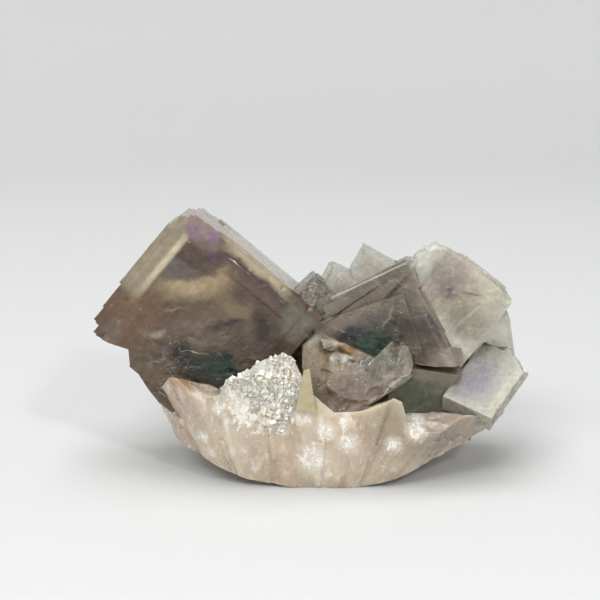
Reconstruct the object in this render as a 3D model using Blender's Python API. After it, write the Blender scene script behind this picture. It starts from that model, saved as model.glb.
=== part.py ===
"""A hand specimen of cubic fluorite crystals grown on a plate of comb quartz.

Three solids: the quartz matrix, the large left-hand cube with growth plates on its faces, and the
intergrown crystals of the right-hand side. The origin is at the middle of the flat underside, +Z is up,
and -Y is the side that the show faces look at. All sizes are in millimetres until a mesh is made of them.
"""

import math
import random
from dataclasses import dataclass

import bmesh
import bpy
from mathutils import Matrix, Vector

MM = 0.001
FIT_GAP = 0.3  # clearance between two solids that are bedded in each other
TOP_FRONT = (-1, -1, 1)  # the highest front corner of a cube that stands on an edge
TOP_LEFT_FACE = (0, -1)  # axis and side of the faces of such a cube
TOP_RIGHT_FACE = (2, 1)
FRONT_FACE = (1, -1)
BACK_FACE = (1, 1)


@dataclass
class Crystal:
    """A right-angled crystal: where one corner lies, its edges, and how it is spun, turned and leant."""

    at: tuple
    size: tuple
    lean: float = 0
    turn: float = 0
    spin: float = 40
    corner: tuple = TOP_FRONT

    def rotation(self):
        """Spun in the plane of its front, turned about the vertical, then leant back."""
        leant = Matrix.Rotation(math.radians(-self.lean), 3, "X")
        turned = Matrix.Rotation(math.radians(self.turn), 3, "Z")
        return leant @ turned @ Matrix.Rotation(math.radians(self.spin), 3, "Y")

    def centre(self):
        """The middle of the block."""
        reach = Vector(side * edge / 2 for side, edge in zip(self.corner, self.size))
        return Vector(self.at) - self.rotation() @ reach

    def spot(self, fractions):
        """A point of the block, each fraction running from -1 to 1 along an edge."""
        reach = Vector(part * edge / 2 for part, edge in zip(fractions, self.size))
        return self.centre() + self.rotation() @ reach


# ---------------------------------------------------------------- driving dimensions, mm and degrees
BASE_HALF_WIDTH = 15.0  # the feet of the outer ring of columns
BASE_HALF_DEPTH = 12.0
FLAT_CUT_LEFT = -6.0  # the flat underside lies between these, and slopes up past them
FLAT_CUT_RIGHT = 9.5
UNDERSIDE_RISE = {"left": 22, "right": 24}
COLUMN_RINGS = ((1.0, 32), (0.8, 22), (0.5, 11))  # how far out each ring of columns stands, and how many
COLUMN_RADIUS = (1.8, 2.8)
COLUMN_SPREAD = {"left": 27, "right": 47, "front": 8, "back": 8}  # outward lean of the outer ring
COLUMN_TOPS = (  # distance across the front, height of the tips there
    (-27, 17.5),
    (-18, 14.5),
    (-9, 13.5),
    (-6, 17.0),
    (-2, 19.0),
    (1, 11.5),
    (8, 10.0),
    (14, 11.5),
    (20, 10.0),
    (27, 8.5),
)
HIDDEN_TOP = {"left": 16.5, "right": 12.5}  # columns that end against the crystals
CORE_SIDES = 28
CORE_RELIEF = 1.3  # the columns stand out from the core by about their radius less this
CORE_REACH = {"left": 7.5, "right": 11.5, "front": 1.6}  # outward spread of the core at its top
CORE_SUMMIT = 12.0

LEFT_CUBE = Crystal(at=(-15.0, -6.0, 36.8), size=(21.5, 19.5, 22.4), lean=6, spin=40)
RIGHT_CRYSTALS = {
    "smoky cube": Crystal(at=(14.6, -6.0, 28.3), size=(16.2, 15.0, 16.4), lean=-3, spin=62),
    "smoky front plate": Crystal(at=(13.0, -6.9, 26.6), size=(9.5, 3.0, 13.5), lean=-3, spin=71),
    "saddle cube": Crystal(at=(0.0, -5.0, 28.4), size=(6.5, 8.0, 6.5), lean=4, spin=46),
    "pale saddle cube": Crystal(at=(3.4, -1.0, 28.9), size=(8.0, 9.0, 8.0), lean=2, spin=27),
    "pale back cube": Crystal(at=(8.2, 2.0, 31.0), size=(9.5, 9.0, 9.5), lean=2, spin=29),
    "upper right cube": Crystal(at=(20.2, -3.0, 32.6), size=(11.6, 14.0, 15.0), lean=8, spin=38),
    "upper right step": Crystal(at=(18.6, -0.5, 32.7), size=(9.0, 9.0, 8.0), lean=6, spin=57),
    "far right cube": Crystal(at=(27.6, -1.5, 23.6), size=(9.6, 11.0, 12.0), lean=4, spin=72),
    "green cube": Crystal(at=(14.3, -8.5, 16.2), size=(10.0, 13.0, 8.5), lean=-6, spin=8),
    "back saddle cube": Crystal(
        at=(-1.0, 13.4, 24.6), size=(9.5, 9.0, 9.0), lean=-4, turn=6, spin=52, corner=(-1, 1, 1)
    ),
    "back right cube": Crystal(
        at=(22.5, 13.6, 22.0), size=(9.0, 8.0, 9.5), lean=6, turn=-8, spin=30, corner=(-1, 1, 1)
    ),
    "tilted plate": Crystal(
        at=(18.6, -9.6, 12.6), size=(7.6, 2.8, 12.0), lean=55, spin=32, corner=(-1, -1, -1)
    ),
}
CLEAVAGE_PIECE = (  # the broken piece in front of the saddle: left end, crest, right end, foot
    (-1.2, -7.0, 19.4),
    (1.0, -6.0, 21.2),
    (2.8, -8.5, 20.6),
    (7.0, -7.0, 19.0),
    (10.5, -8.5, 17.8),
    (13.6, -8.0, 17.6),
    (14.3, -9.6, 15.9),
    (13.4, -9.8, 14.6),
    (2.6, -11.8, 16.6),
    (9.8, -11.6, 15.6),
    (7.0, -11.8, 11.2),
    (4.0, -11.6, 8.9),
    (0.2, -10.6, 10.6),
    (-1.2, -9.4, 14.6),
    (5.0, -3.0, 12.0),
    (12.0, -3.0, 13.0),
)


def clear_scene():
    """Empties the scene."""
    for item in list(bpy.data.objects):
        bpy.data.objects.remove(item, do_unlink=True)


# ---------------------------------------------------------------- building blocks
def add_block(bm, crystal, grow=0.0):
    """The crystal as a plain block, with each face moved out by grow."""
    edges = [edge + 2 * grow for edge in crystal.size]
    placed = Matrix.Translation(crystal.centre()) @ crystal.rotation().to_4x4() @ Matrix.Diagonal((*edges, 1))
    bmesh.ops.create_cube(bm, size=1, matrix=placed)


def add_hull(bm, points):
    """The convex solid around some points."""
    corners = [bm.verts.new(point) for point in points]
    made = bmesh.ops.convex_hull(bm, input=corners)
    inside = [item for item in made["geom_interior"] if isinstance(item, bmesh.types.BMVert)]
    bmesh.ops.delete(bm, geom=inside, context="VERTS")


def add_growth_plates(bm, crystal, face, count, rise, rng):
    """Terraces on one face: thin plates, each set back from the edges of the one under it."""
    axis, side = face
    across = [number for number in range(3) if number != axis]
    low = {number: -crystal.size[number] / 2 for number in across}
    high = {number: crystal.size[number] / 2 for number in across}
    top = crystal.size[axis] / 2
    for _ in range(count):
        top += rng.uniform(*rise)
        for number in across:
            step = 0.14 * crystal.size[number]
            low[number] += rng.choice((0.12, rng.uniform(0.3, 1.0) * step))
            high[number] -= rng.choice((0.12, rng.uniform(0.3, 1.0) * step))
        depth = crystal.size[axis] / 4
        middle = Vector((0, 0, 0))
        middle[axis] = side * (top - depth / 2)
        edges = [depth, depth, depth]
        for number in across:
            middle[number] = (low[number] + high[number]) / 2
            edges[number] = high[number] - low[number]
        spot = crystal.centre() + crystal.rotation() @ middle
        placed = Matrix.Translation(spot) @ crystal.rotation().to_4x4() @ Matrix.Diagonal((*edges, 1))
        bmesh.ops.create_cube(bm, size=1, matrix=placed)


def add_scoop(bm, spot, radius, rng, stretch=(1, 1, 1)):
    """A cutter for one shell-like break: a coarse ball that is a little uneven."""
    turned = Matrix.Rotation(rng.uniform(0, math.tau), 4, Vector((rng.random(), rng.random(), 1)))
    placed = Matrix.Translation(spot) @ turned @ Matrix.Diagonal((*stretch, 1))
    made = bmesh.ops.create_icosphere(bm, subdivisions=2, radius=radius, matrix=placed)
    for vert in made["verts"]:
        vert.co += (vert.co - Vector(spot)) * rng.uniform(-0.06, 0.06)


def add_chip(bm, crystal, fractions, depth, rng):
    """A cutter that takes a flat-sided chip off a corner or an edge of a crystal."""
    radius = rng.uniform(2.2, 3.2) * depth
    spot = crystal.spot(fractions)
    outward = (spot - crystal.centre()).normalized()
    turned = Matrix.Rotation(rng.uniform(0, math.tau), 4, Vector((rng.random(), rng.random(), 1)))
    placed = Matrix.Translation(spot + outward * (radius * 0.93 - depth)) @ turned
    bmesh.ops.create_icosphere(bm, subdivisions=1, radius=radius, matrix=placed)


def add_column(bm, foot, top, radius, rng):
    """One quartz column: a six-sided prism with a six-sided point."""
    run = top - foot
    turned = run.to_track_quat("Z", "Y").to_matrix().to_4x4()
    placed = Matrix.Translation(foot) @ turned @ Matrix.Rotation(rng.uniform(0, math.tau), 4, "Z")
    point = min(0.9 * radius, run.length / 3)
    shoulder = run.length - point
    rings = []
    for height, width in ((0, 0.8), (shoulder, 1.0)):
        ring = []
        for number in range(6):
            angle = math.tau * number / 6
            flat = Vector((radius * width * math.cos(angle), radius * width * math.sin(angle), height))
            ring.append(bm.verts.new(placed @ flat))
        rings.append(ring)
    off_centre = Vector((rng.uniform(-0.3, 0.3) * radius, rng.uniform(-0.3, 0.3) * radius, run.length))
    tip = bm.verts.new(placed @ off_centre)
    bm.faces.new(list(reversed(rings[0])))
    for number in range(6):
        after = (number + 1) % 6
        bm.faces.new((rings[0][number], rings[0][after], rings[1][after], rings[1][number]))
        bm.faces.new((rings[1][number], rings[1][after], tip))


# ---------------------------------------------------------------- finishing a solid
def to_object(name, bm):
    """An object in metres from a bmesh in millimetres."""
    bmesh.ops.recalc_face_normals(bm, faces=bm.faces)
    bmesh.ops.scale(bm, vec=(MM, MM, MM), verts=bm.verts)
    mesh = bpy.data.meshes.new(name)
    bm.to_mesh(mesh)
    bm.free()
    made = bpy.data.objects.new(name, mesh)
    bpy.context.scene.collection.objects.link(made)
    return made


def keep_largest_body(mesh):
    """Drops crumbs and closed-off pockets, then merges slivers left by the cuts."""
    bm = bmesh.new()
    bm.from_mesh(mesh)
    bmesh.ops.remove_doubles(bm, verts=bm.verts, dist=0.01 * MM)
    bmesh.ops.dissolve_degenerate(bm, edges=bm.edges, dist=0.01 * MM)
    bodies = []
    left = set(bm.verts)
    while left:
        seen = {left.pop()}
        todo = list(seen)
        while todo:
            for edge in todo.pop().link_edges:
                for vert in edge.verts:
                    if vert not in seen:
                        seen.add(vert)
                        todo.append(vert)
        left -= seen
        bodies.append(seen)
    bodies.sort(key=len, reverse=True)
    for body in bodies[1:]:
        bmesh.ops.delete(bm, geom=list(body), context="VERTS")
    bmesh.ops.triangulate(bm, faces=bm.faces)
    bm.to_mesh(mesh)
    bm.free()


def fused(name, solid, cutter, material):
    """One solid from overlapping blocks, less the cutters."""
    body = to_object(name, solid)
    tool = to_object(name + "_cutter", cutter)
    cut = body.modifiers.new("cut", "BOOLEAN")
    cut.operation = "DIFFERENCE"
    cut.solver = "EXACT"
    cut.use_self = True
    cut.object = tool
    seen = body.evaluated_get(bpy.context.evaluated_depsgraph_get())
    mesh = bpy.data.meshes.new_from_object(seen)
    body.modifiers.clear()
    body.data = mesh
    bpy.data.objects.remove(tool, do_unlink=True)
    keep_largest_body(mesh)
    mesh.materials.clear()
    mesh.materials.append(material)
    return body


def mineral(name, colour, roughness, clearness, refraction):
    """A clear or milky mineral."""
    made = bpy.data.materials.new(name)
    made.use_nodes = True
    shader = made.node_tree.nodes["Principled BSDF"]
    shader.inputs["Base Color"].default_value = (*colour, 1)
    shader.inputs["Roughness"].default_value = roughness
    shader.inputs["Metallic"].default_value = 0
    shader.inputs["Transmission Weight"].default_value = clearness
    shader.inputs["IOR"].default_value = refraction
    return made


def add_ground_cutter(bm):
    """Everything below the underside."""
    placed = Matrix.Translation((0, 0, -20)) @ Matrix.Diagonal((120, 120, 40, 1))
    bmesh.ops.create_cube(bm, size=1, matrix=placed)


def add_slope_cutter(bm, edge, rise):
    """Everything below a plane that climbs outward from one edge of the flat underside."""
    turned = Matrix.Rotation(math.radians(-rise), 4, "Y")
    placed = Matrix.Translation((edge, 0, 0)) @ turned @ Matrix.Translation((0, 0, -20))
    bmesh.ops.create_cube(bm, size=1, matrix=placed @ Matrix.Diagonal((120, 120, 40, 1)))


# ---------------------------------------------------------------- the three solids
def left_crystal():
    """The large smoky cube on the left, with terraced faces and a broken lower front."""
    rng = random.Random(11)
    solid = bmesh.new()
    cutter = bmesh.new()
    add_block(solid, LEFT_CUBE)
    add_growth_plates(solid, LEFT_CUBE, TOP_LEFT_FACE, 4, (0.16, 0.3), rng)
    add_growth_plates(solid, LEFT_CUBE, TOP_RIGHT_FACE, 4, (0.14, 0.26), rng)
    add_growth_plates(solid, LEFT_CUBE, FRONT_FACE, 2, (0.12, 0.2), rng)
    add_growth_plates(solid, LEFT_CUBE, BACK_FACE, 4, (0.16, 0.3), rng)
    add_chip(cutter, LEFT_CUBE, (-1, -1, -1), 1.3, rng)
    add_chip(cutter, LEFT_CUBE, (-1, 1, -1), 1.6, rng)
    add_chip(cutter, LEFT_CUBE, (-1, 1, 1), 0.7, rng)
    add_chip(cutter, LEFT_CUBE, (-1, -1, 0.86), 0.3, rng)
    add_chip(cutter, LEFT_CUBE, (-0.3, -1, 1), 0.25, rng)
    add_chip(cutter, LEFT_CUBE, (0.3, 1, 1), 0.5, rng)
    for across, down in ((-0.75, -0.9), (-0.3, -0.62), (0.25, -0.45), (0.62, -0.1), (-0.1, -0.95), (0.8, 0.45)):
        spot = LEFT_CUBE.spot((across, -1, down))
        add_scoop(cutter, spot + Vector((0, -rng.uniform(3.6, 4.2), 0)), rng.uniform(4.6, 5.4), rng)
    add_ground_cutter(cutter)
    smoky = mineral("smoky_fluorite", (0.30, 0.24, 0.20), 0.12, 0.6, 1.434)
    return fused("left_fluorite_crystal", solid, cutter, smoky)


def right_crystals():
    """The intergrown crystals right of the saddle, with the broken piece in front of them."""
    rng = random.Random(23)
    solid = bmesh.new()
    cutter = bmesh.new()
    for crystal in RIGHT_CRYSTALS.values():
        add_block(solid, crystal)
    add_hull(solid, CLEAVAGE_PIECE)
    smoky = RIGHT_CRYSTALS["smoky cube"]
    upper = RIGHT_CRYSTALS["upper right cube"]
    plate = RIGHT_CRYSTALS["tilted plate"]
    far = RIGHT_CRYSTALS["far right cube"]
    add_growth_plates(solid, smoky, TOP_RIGHT_FACE, 2, (0.14, 0.24), rng)
    add_growth_plates(solid, smoky, TOP_LEFT_FACE, 3, (0.14, 0.24), rng)
    add_growth_plates(solid, smoky, BACK_FACE, 4, (0.16, 0.3), rng)
    add_growth_plates(solid, upper, TOP_RIGHT_FACE, 4, (0.16, 0.3), rng)
    add_growth_plates(solid, upper, BACK_FACE, 3, (0.16, 0.3), rng)
    add_growth_plates(solid, RIGHT_CRYSTALS["pale saddle cube"], TOP_LEFT_FACE, 3, (0.15, 0.25), rng)
    add_growth_plates(solid, RIGHT_CRYSTALS["saddle cube"], TOP_RIGHT_FACE, 2, (0.2, 0.4), rng)
    add_chip(cutter, upper, (1, -1, 1), 0.9, rng)
    add_chip(cutter, upper, (-1, -1, 1), 0.6, rng)
    add_chip(cutter, upper, (1, 1, 1), 1.2, rng)
    add_chip(cutter, far, (1, -1, 1), 0.9, rng)
    add_chip(cutter, far, (1, 1, 1), 1.2, rng)
    add_chip(cutter, plate, (1, -1, 1), 1.6, rng)
    add_chip(cutter, plate, (1, -1, -0.2), 0.6, rng)
    add_chip(cutter, plate, (1, 1, 0.2), 0.9, rng)
    add_scoop(cutter, smoky.spot((0.2, -1, -0.5)) + Vector((0, -2.2, 0)), 4.2, rng)
    add_scoop(cutter, (4.4, -15.4, 17.4), 4.6, rng)
    add_scoop(cutter, (9.6, -15.2, 12.6), 4.4, rng)
    add_block(cutter, LEFT_CUBE, FIT_GAP + 1.2)
    add_ground_cutter(cutter)
    pale = mineral("pale_fluorite", (0.42, 0.38, 0.32), 0.12, 0.6, 1.434)
    return fused("right_fluorite_crystals", solid, cutter, pale)


def squared_off(part):
    """Pushes a point of the unit circle out towards the square around it."""
    return math.copysign(abs(part) ** 0.8, part)


def column_top(across):
    """How high the tips of the outermost columns reach, at a distance across the front."""
    across = min(max(across, COLUMN_TOPS[0][0]), COLUMN_TOPS[-1][0])
    for (x0, z0), (x1, z1) in zip(COLUMN_TOPS, COLUMN_TOPS[1:]):
        if across <= x1:
            return z0 + (z1 - z0) * (across - x0) / (x1 - x0)


def add_core(bm):
    """The body of the matrix that the columns stand out from: a bowl-sided plug with an uneven top."""
    levels = ((0.0, 0.0), (0.5, 0.55), (1.0, 1.0))  # share of the height, share of the outward spread
    rings = []
    for share, spread in levels:
        ring = []
        for number in range(CORE_SIDES):
            angle = math.tau * number / CORE_SIDES
            across = squared_off(math.cos(angle))
            along = squared_off(math.sin(angle))
            side = "right" if across > 0 else "left"
            reach = CORE_REACH[side] * spread
            x = across * (BASE_HALF_WIDTH + CORE_RELIEF + reach)
            y = along * (BASE_HALF_DEPTH + CORE_RELIEF + CORE_REACH["front"] * spread)
            top = column_top(x) - 1.0
            ring.append(bm.verts.new((x, y, -1.5 + share * (top + 1.5))))
        rings.append(ring)
    for lower, upper in zip(rings, rings[1:]):
        for number in range(CORE_SIDES):
            after = (number + 1) % CORE_SIDES
            bm.faces.new((lower[number], lower[after], upper[after], upper[number]))
    bm.faces.new(list(reversed(rings[0])))
    summit = bm.verts.new((0, 0, CORE_SUMMIT))
    for number in range(CORE_SIDES):
        bm.faces.new((rings[-1][number], rings[-1][(number + 1) % CORE_SIDES], summit))


def quartz_matrix():
    """A plate of milky comb quartz: columns that fan out from a flat cut, bedding the fluorite."""
    rng = random.Random(5)
    solid = bmesh.new()
    cutter = bmesh.new()
    add_core(solid)
    for ring, count in COLUMN_RINGS:
        for number in range(count):
            angle = math.tau * (number + rng.uniform(-0.25, 0.25)) / count
            across = ring * squared_off(math.cos(angle))
            along = ring * squared_off(math.sin(angle))
            spread_x = COLUMN_SPREAD["right"] if across > 0 else COLUMN_SPREAD["left"]
            spread_y = COLUMN_SPREAD["back"] if along > 0 else COLUMN_SPREAD["front"]
            foot = Vector((across * BASE_HALF_WIDTH, along * BASE_HALF_DEPTH, -1.5))
            slope = Vector((across * math.tan(math.radians(spread_x)), along * math.tan(math.radians(spread_y)), 1))
            reach = 12 if ring == 1.0 else 15
            height = column_top(foot.x + slope.x * reach) + rng.uniform(-1.5, 1.0)
            if abs(along) < 0.6:
                height = max(height, HIDDEN_TOP["right" if across > 0 else "left"])
            radius = rng.uniform(*COLUMN_RADIUS)
            add_column(solid, foot, foot + slope * (height + 1.5), radius, rng)
    add_block(cutter, LEFT_CUBE, FIT_GAP + 1.2)
    for crystal in RIGHT_CRYSTALS.values():
        add_block(cutter, crystal, FIT_GAP + 0.7)
    middle = sum((Vector(point) for point in CLEAVAGE_PIECE), Vector()) / len(CLEAVAGE_PIECE)
    grown = []
    for point in CLEAVAGE_PIECE:
        outward = Vector(point) - middle
        grown.append(Vector(point) + outward.normalized() * (FIT_GAP + 0.3))
    add_hull(cutter, grown)
    add_ground_cutter(cutter)
    add_slope_cutter(cutter, FLAT_CUT_LEFT, -UNDERSIDE_RISE["left"])
    add_slope_cutter(cutter, FLAT_CUT_RIGHT, UNDERSIDE_RISE["right"])
    milky = mineral("milky_quartz", (0.62, 0.53, 0.44), 0.3, 0.25, 1.544)
    return fused("quartz_matrix", solid, cutter, milky)


clear_scene()
quartz_matrix()
left_crystal()
right_crystals()
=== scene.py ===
"""Looks of a hand specimen of cubic fluorite on milky comb quartz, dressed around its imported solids."""

import math
import random

import bmesh
import bpy
from mathutils import Matrix, Vector
from mathutils.bvhtree import BVHTree
from mathutils.noise import fractal


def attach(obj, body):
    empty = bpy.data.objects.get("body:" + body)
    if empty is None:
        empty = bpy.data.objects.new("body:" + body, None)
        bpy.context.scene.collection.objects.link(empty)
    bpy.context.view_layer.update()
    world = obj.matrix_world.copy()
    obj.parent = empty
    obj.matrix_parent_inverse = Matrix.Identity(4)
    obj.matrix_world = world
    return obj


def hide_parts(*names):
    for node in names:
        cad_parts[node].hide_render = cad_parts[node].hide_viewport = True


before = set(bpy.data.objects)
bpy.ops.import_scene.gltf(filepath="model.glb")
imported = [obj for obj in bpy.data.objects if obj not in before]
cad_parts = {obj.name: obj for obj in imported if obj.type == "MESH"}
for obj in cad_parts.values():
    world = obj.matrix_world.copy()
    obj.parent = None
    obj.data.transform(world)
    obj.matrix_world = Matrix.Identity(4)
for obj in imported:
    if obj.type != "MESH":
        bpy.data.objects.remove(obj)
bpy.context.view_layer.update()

# ------------------------------------------------------------------------------------------------
# The large left-hand cube: one smoky fluorite crystal about 22 mm on an edge, clear enough to look into.
# It grew in thin layers parallel to its faces, which show as terraces outside and as colour zones inside.
# Its lower front is broken along the octahedral cleavage, where the quartz grips it.

MM = 0.001
TOP_FRONT = (-1, -1, 1)  # the highest front corner of a cube that stands on an edge
TOP_LEFT_FACE = (0, -1)  # the axis and the side of each face of such a cube
TOP_RIGHT_FACE = (2, 1)
LOW_LEFT_FACE = (2, -1)
FRONT_FACE = (1, -1)
BACK_FACE = (1, 1)


class Crystal:
    """A right-angled crystal, in mm: where a corner lies, its edges, and its spin, turn and lean."""

    def __init__(self, at, size, lean=0.0, turn=0.0, spin=40.0, corner=TOP_FRONT, skin=0):
        leant = Matrix.Rotation(math.radians(-lean), 3, "X")
        turned = Matrix.Rotation(math.radians(turn), 3, "Z")
        self.rotation = leant @ turned @ Matrix.Rotation(math.radians(spin), 3, "Y")
        self.size = size
        self.skin = skin  # the number of its material
        reach = Vector(side * edge / 2 for side, edge in zip(corner, size))
        self.centre = Vector(at) - self.rotation @ reach

    def spot(self, fractions):
        """A point of the block, each fraction running from -1 to 1 along an edge."""
        reach = Vector(part * edge / 2 for part, edge in zip(fractions, self.size))
        return self.centre + self.rotation @ reach

    def point(self, middle):
        """A point given in the crystal's own mm, from its middle."""
        return self.centre + self.rotation @ Vector(middle)

    def place(self, middle, edges):
        """The matrix that puts a unit cube at a place of the crystal's own frame."""
        turned = self.rotation.to_4x4()
        return Matrix.Translation(self.point(middle)) @ turned @ Matrix.Diagonal((*edges, 1))


def add_box(bm, crystal, middle, edges):
    """A box in a crystal's own frame, in its material."""
    made = bmesh.ops.create_cube(bm, size=1, matrix=crystal.place(middle, edges))
    for vert in made["verts"]:
        for face in vert.link_faces:
            face.material_index = crystal.skin


def add_block(bm, crystal, grow=0.0):
    """The crystal as a plain block, with each face moved out by grow."""
    add_box(bm, crystal, (0, 0, 0), [edge + 2 * grow for edge in crystal.size])


def add_hull(bm, points, skin=0):
    """The convex solid around some points."""
    corners = [bm.verts.new(point) for point in points]
    made = bmesh.ops.convex_hull(bm, input=corners)
    for item in made["geom"]:
        if isinstance(item, bmesh.types.BMFace):
            item.material_index = skin
    inside = [item for item in made["geom_interior"] if isinstance(item, bmesh.types.BMVert)]
    bmesh.ops.delete(bm, geom=inside, context="VERTS")


def add_terraces(bm, crystal, face, count, rise, rng, step=0.12):
    """Growth layers on a face: plates, each set back from the one under it, often flush on one side."""
    axis, side = face
    across = [number for number in range(3) if number != axis]
    low = {number: -crystal.size[number] / 2 for number in across}
    high = {number: crystal.size[number] / 2 for number in across}
    top = crystal.size[axis] / 2
    depth = crystal.size[axis] / 5  # each plate is rooted well inside the crystal
    flush = 0.05
    for _ in range(count):
        top += rng.uniform(*rise)
        for number in across:
            reach = step * crystal.size[number]
            low[number] += rng.choice((flush, rng.uniform(0.1, 1.0) * reach))
            high[number] -= rng.choice((flush, rng.uniform(0.1, 1.0) * reach))
        middle = [0, 0, 0]
        edges = [depth, depth, depth]
        middle[axis] = side * (top - depth / 2)
        for number in across:
            middle[number] = (low[number] + high[number]) / 2
            edges[number] = max(high[number] - low[number], 0.5)
        add_box(bm, crystal, middle, edges)


def add_edge_plates(bm, crystal, face, count, rise, rng):
    """Short ledges that cross the rim of a face here and there."""
    axis, side = face
    across = [number for number in range(3) if number != axis]
    for _ in range(count):
        middle = [0, 0, 0]
        edges = [0, 0, 0]
        height = rng.uniform(*rise)
        edges[axis] = crystal.size[axis] / 6
        middle[axis] = side * (crystal.size[axis] / 2 + height - edges[axis] / 2)
        along = rng.choice(across)
        other = across[0] if along == across[1] else across[1]
        edges[along] = rng.uniform(0.12, 0.4) * crystal.size[along]
        middle[along] = rng.uniform(-0.5, 0.5) * (crystal.size[along] - edges[along])
        edges[other] = rng.uniform(0.05, 0.2) * crystal.size[other]
        rim_side = rng.choice((-1, 1))
        past_rim = rng.uniform(-0.2, 0.1)
        middle[other] = rim_side * ((crystal.size[other] - edges[other]) / 2 + past_rim)
        add_box(bm, crystal, middle, edges)


def add_cleavage_cut(bm, crystal, fractions, depth, radius, rng=None):
    """A cutter with the eight octahedral cleavage planes, sunk to a depth at a point of the surface."""
    spot = crystal.spot(fractions)
    outward = (crystal.rotation @ Vector(fractions)).normalized()
    plane_distance = 0.62 * radius
    centre = spot + outward * (plane_distance - depth)
    reach = [radius * (rng.uniform(0.7, 1.4) if rng else 1.0) for _ in range(3)]
    corners = []
    for axis in range(3):
        for side in (-1, 1):
            offset = Vector((0, 0, 0))
            offset[axis] = side * reach[axis]
            corners.append(centre + crystal.rotation @ offset)
    add_hull(bm, corners, crystal.skin)


def to_object(name, bm):
    """An object in metres from a bmesh in millimetres."""
    bmesh.ops.recalc_face_normals(bm, faces=bm.faces)
    bmesh.ops.scale(bm, vec=(MM, MM, MM), verts=bm.verts)
    mesh = bpy.data.meshes.new(name)
    bm.to_mesh(mesh)
    bm.free()
    made = bpy.data.objects.new(name, mesh)
    bpy.context.scene.collection.objects.link(made)
    return made


def keep_largest_body(mesh, join=0.004):
    """Drops crumbs and closed-off pockets, and joins corners closer than a few thousandths of a mm."""
    bm = bmesh.new()
    bm.from_mesh(mesh)
    bmesh.ops.remove_doubles(bm, verts=bm.verts, dist=join * MM)
    bmesh.ops.dissolve_degenerate(bm, edges=bm.edges, dist=join * MM)
    bodies = []
    left = set(bm.verts)
    while left:
        seen = {left.pop()}
        todo = list(seen)
        while todo:
            for edge in todo.pop().link_edges:
                for vert in edge.verts:
                    if vert not in seen:
                        seen.add(vert)
                        todo.append(vert)
        left -= seen
        bodies.append(seen)
    bodies.sort(key=len, reverse=True)
    for body in bodies[1:]:
        bmesh.ops.delete(bm, geom=list(body), context="VERTS")
    bmesh.ops.triangulate(bm, faces=bm.faces)
    bm.to_mesh(mesh)
    bm.free()


def fused(name, solid, cutter, materials):
    """One solid from overlapping blocks, less the cutters, each face keeping its own material."""
    body = to_object(name, solid)
    tool = to_object(name + "_cutter", cutter)
    for made in (body, tool):
        for material in materials:
            made.data.materials.append(material)
    cut = body.modifiers.new("cut", "BOOLEAN")
    cut.operation = "DIFFERENCE"
    cut.solver = "EXACT"
    cut.use_self = True
    cut.object = tool
    mesh = bpy.data.meshes.new_from_object(body.evaluated_get(bpy.context.evaluated_depsgraph_get()))
    body.modifiers.clear()
    body.data = mesh
    bpy.data.objects.remove(tool, do_unlink=True)
    keep_largest_body(mesh)
    return body


def roughen(mesh, longest, amount, size, rounds=7):
    """Splits long edges, then moves the surface in and out a little, so that no face is dead flat."""
    bm = bmesh.new()
    bm.from_mesh(mesh)
    for _ in range(rounds):
        long_edges = [edge for edge in bm.edges if edge.calc_length() > longest * MM]
        if not long_edges:
            break
        bmesh.ops.subdivide_edges(bm, edges=long_edges, cuts=1)
        bmesh.ops.triangulate(bm, faces=[face for face in bm.faces if len(face.verts) > 3])
    bm.normal_update()
    moves = []
    for vert in bm.verts:
        swell = fractal(vert.co / (size * MM), 0.8, 2.0, 4)
        moves.append((vert, vert.normal * (swell * amount * MM)))
    for vert, move in moves:
        vert.co += move
    bm.to_mesh(mesh)
    bm.free()


def paint(red, green, blue):
    """A colour given in screen values from 0 to 255, as the linear values that shaders use."""
    return tuple(((part / 255 + 0.055) / 1.055) ** 2.4 for part in (red, green, blue)) + (1.0,)


def add_node(tree, kind, values=None, **settings):
    """A node of one kind. Its values go to inputs by name or number, and sockets among them are linked."""
    made = tree.nodes.new(kind)
    for key, setting in settings.items():
        setattr(made, key, setting)
    for key, value in (values or {}).items():
        if isinstance(value, bpy.types.NodeSocket):
            tree.links.new(value, made.inputs[key])
        else:
            made.inputs[key].default_value = value
    return made


def calc(tree, operation, first, second=0.0, clamp=False):
    """One sum on two numbers."""
    picks = {0: first, 1: second}
    return add_node(tree, "ShaderNodeMath", picks, operation=operation, use_clamp=clamp).outputs[0]


def span(tree, value, low, high, to_low=0.0, to_high=1.0, smooth=False):
    """A value taken from one range to another, and held within it."""
    kind = "SMOOTHSTEP" if smooth else "LINEAR"
    picks = {"Value": value, "From Min": low, "From Max": high, "To Min": to_low, "To Max": to_high}
    return add_node(tree, "ShaderNodeMapRange", picks, interpolation_type=kind).outputs[0]


def vectors(tree, operation, first, second=(0, 0, 0)):
    """One sum on two vectors."""
    return add_node(tree, "ShaderNodeVectorMath", {0: first, 1: second}, operation=operation).outputs[0]


def blended(tree, mask, under, over, mode="MIX"):
    """Two colours mixed by a mask."""
    picks = {0: mask, 6: under, 7: over}
    return add_node(tree, "ShaderNodeMix", picks, data_type="RGBA", blend_type=mode).outputs[2]


def shaded(tree, colour, share):
    """A colour made lighter or darker by a value that changes over the surface."""
    grey = add_node(tree, "ShaderNodeCombineXYZ", {0: share, 1: share, 2: share}).outputs[0]
    return blended(tree, 1.0, colour, grey, "MULTIPLY")


def noise(tree, place, scale, detail=3.0, roughness=0.5, stretch=None):
    """Soft noise, from 0 to 1, and as three numbers; a stretch squeezes the pattern along an axis."""
    if stretch:
        place = vectors(tree, "MULTIPLY", place, stretch)
    picks = {"Vector": place, "Scale": scale, "Detail": detail, "Roughness": roughness}
    return add_node(tree, "ShaderNodeTexNoise", picks)


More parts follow.
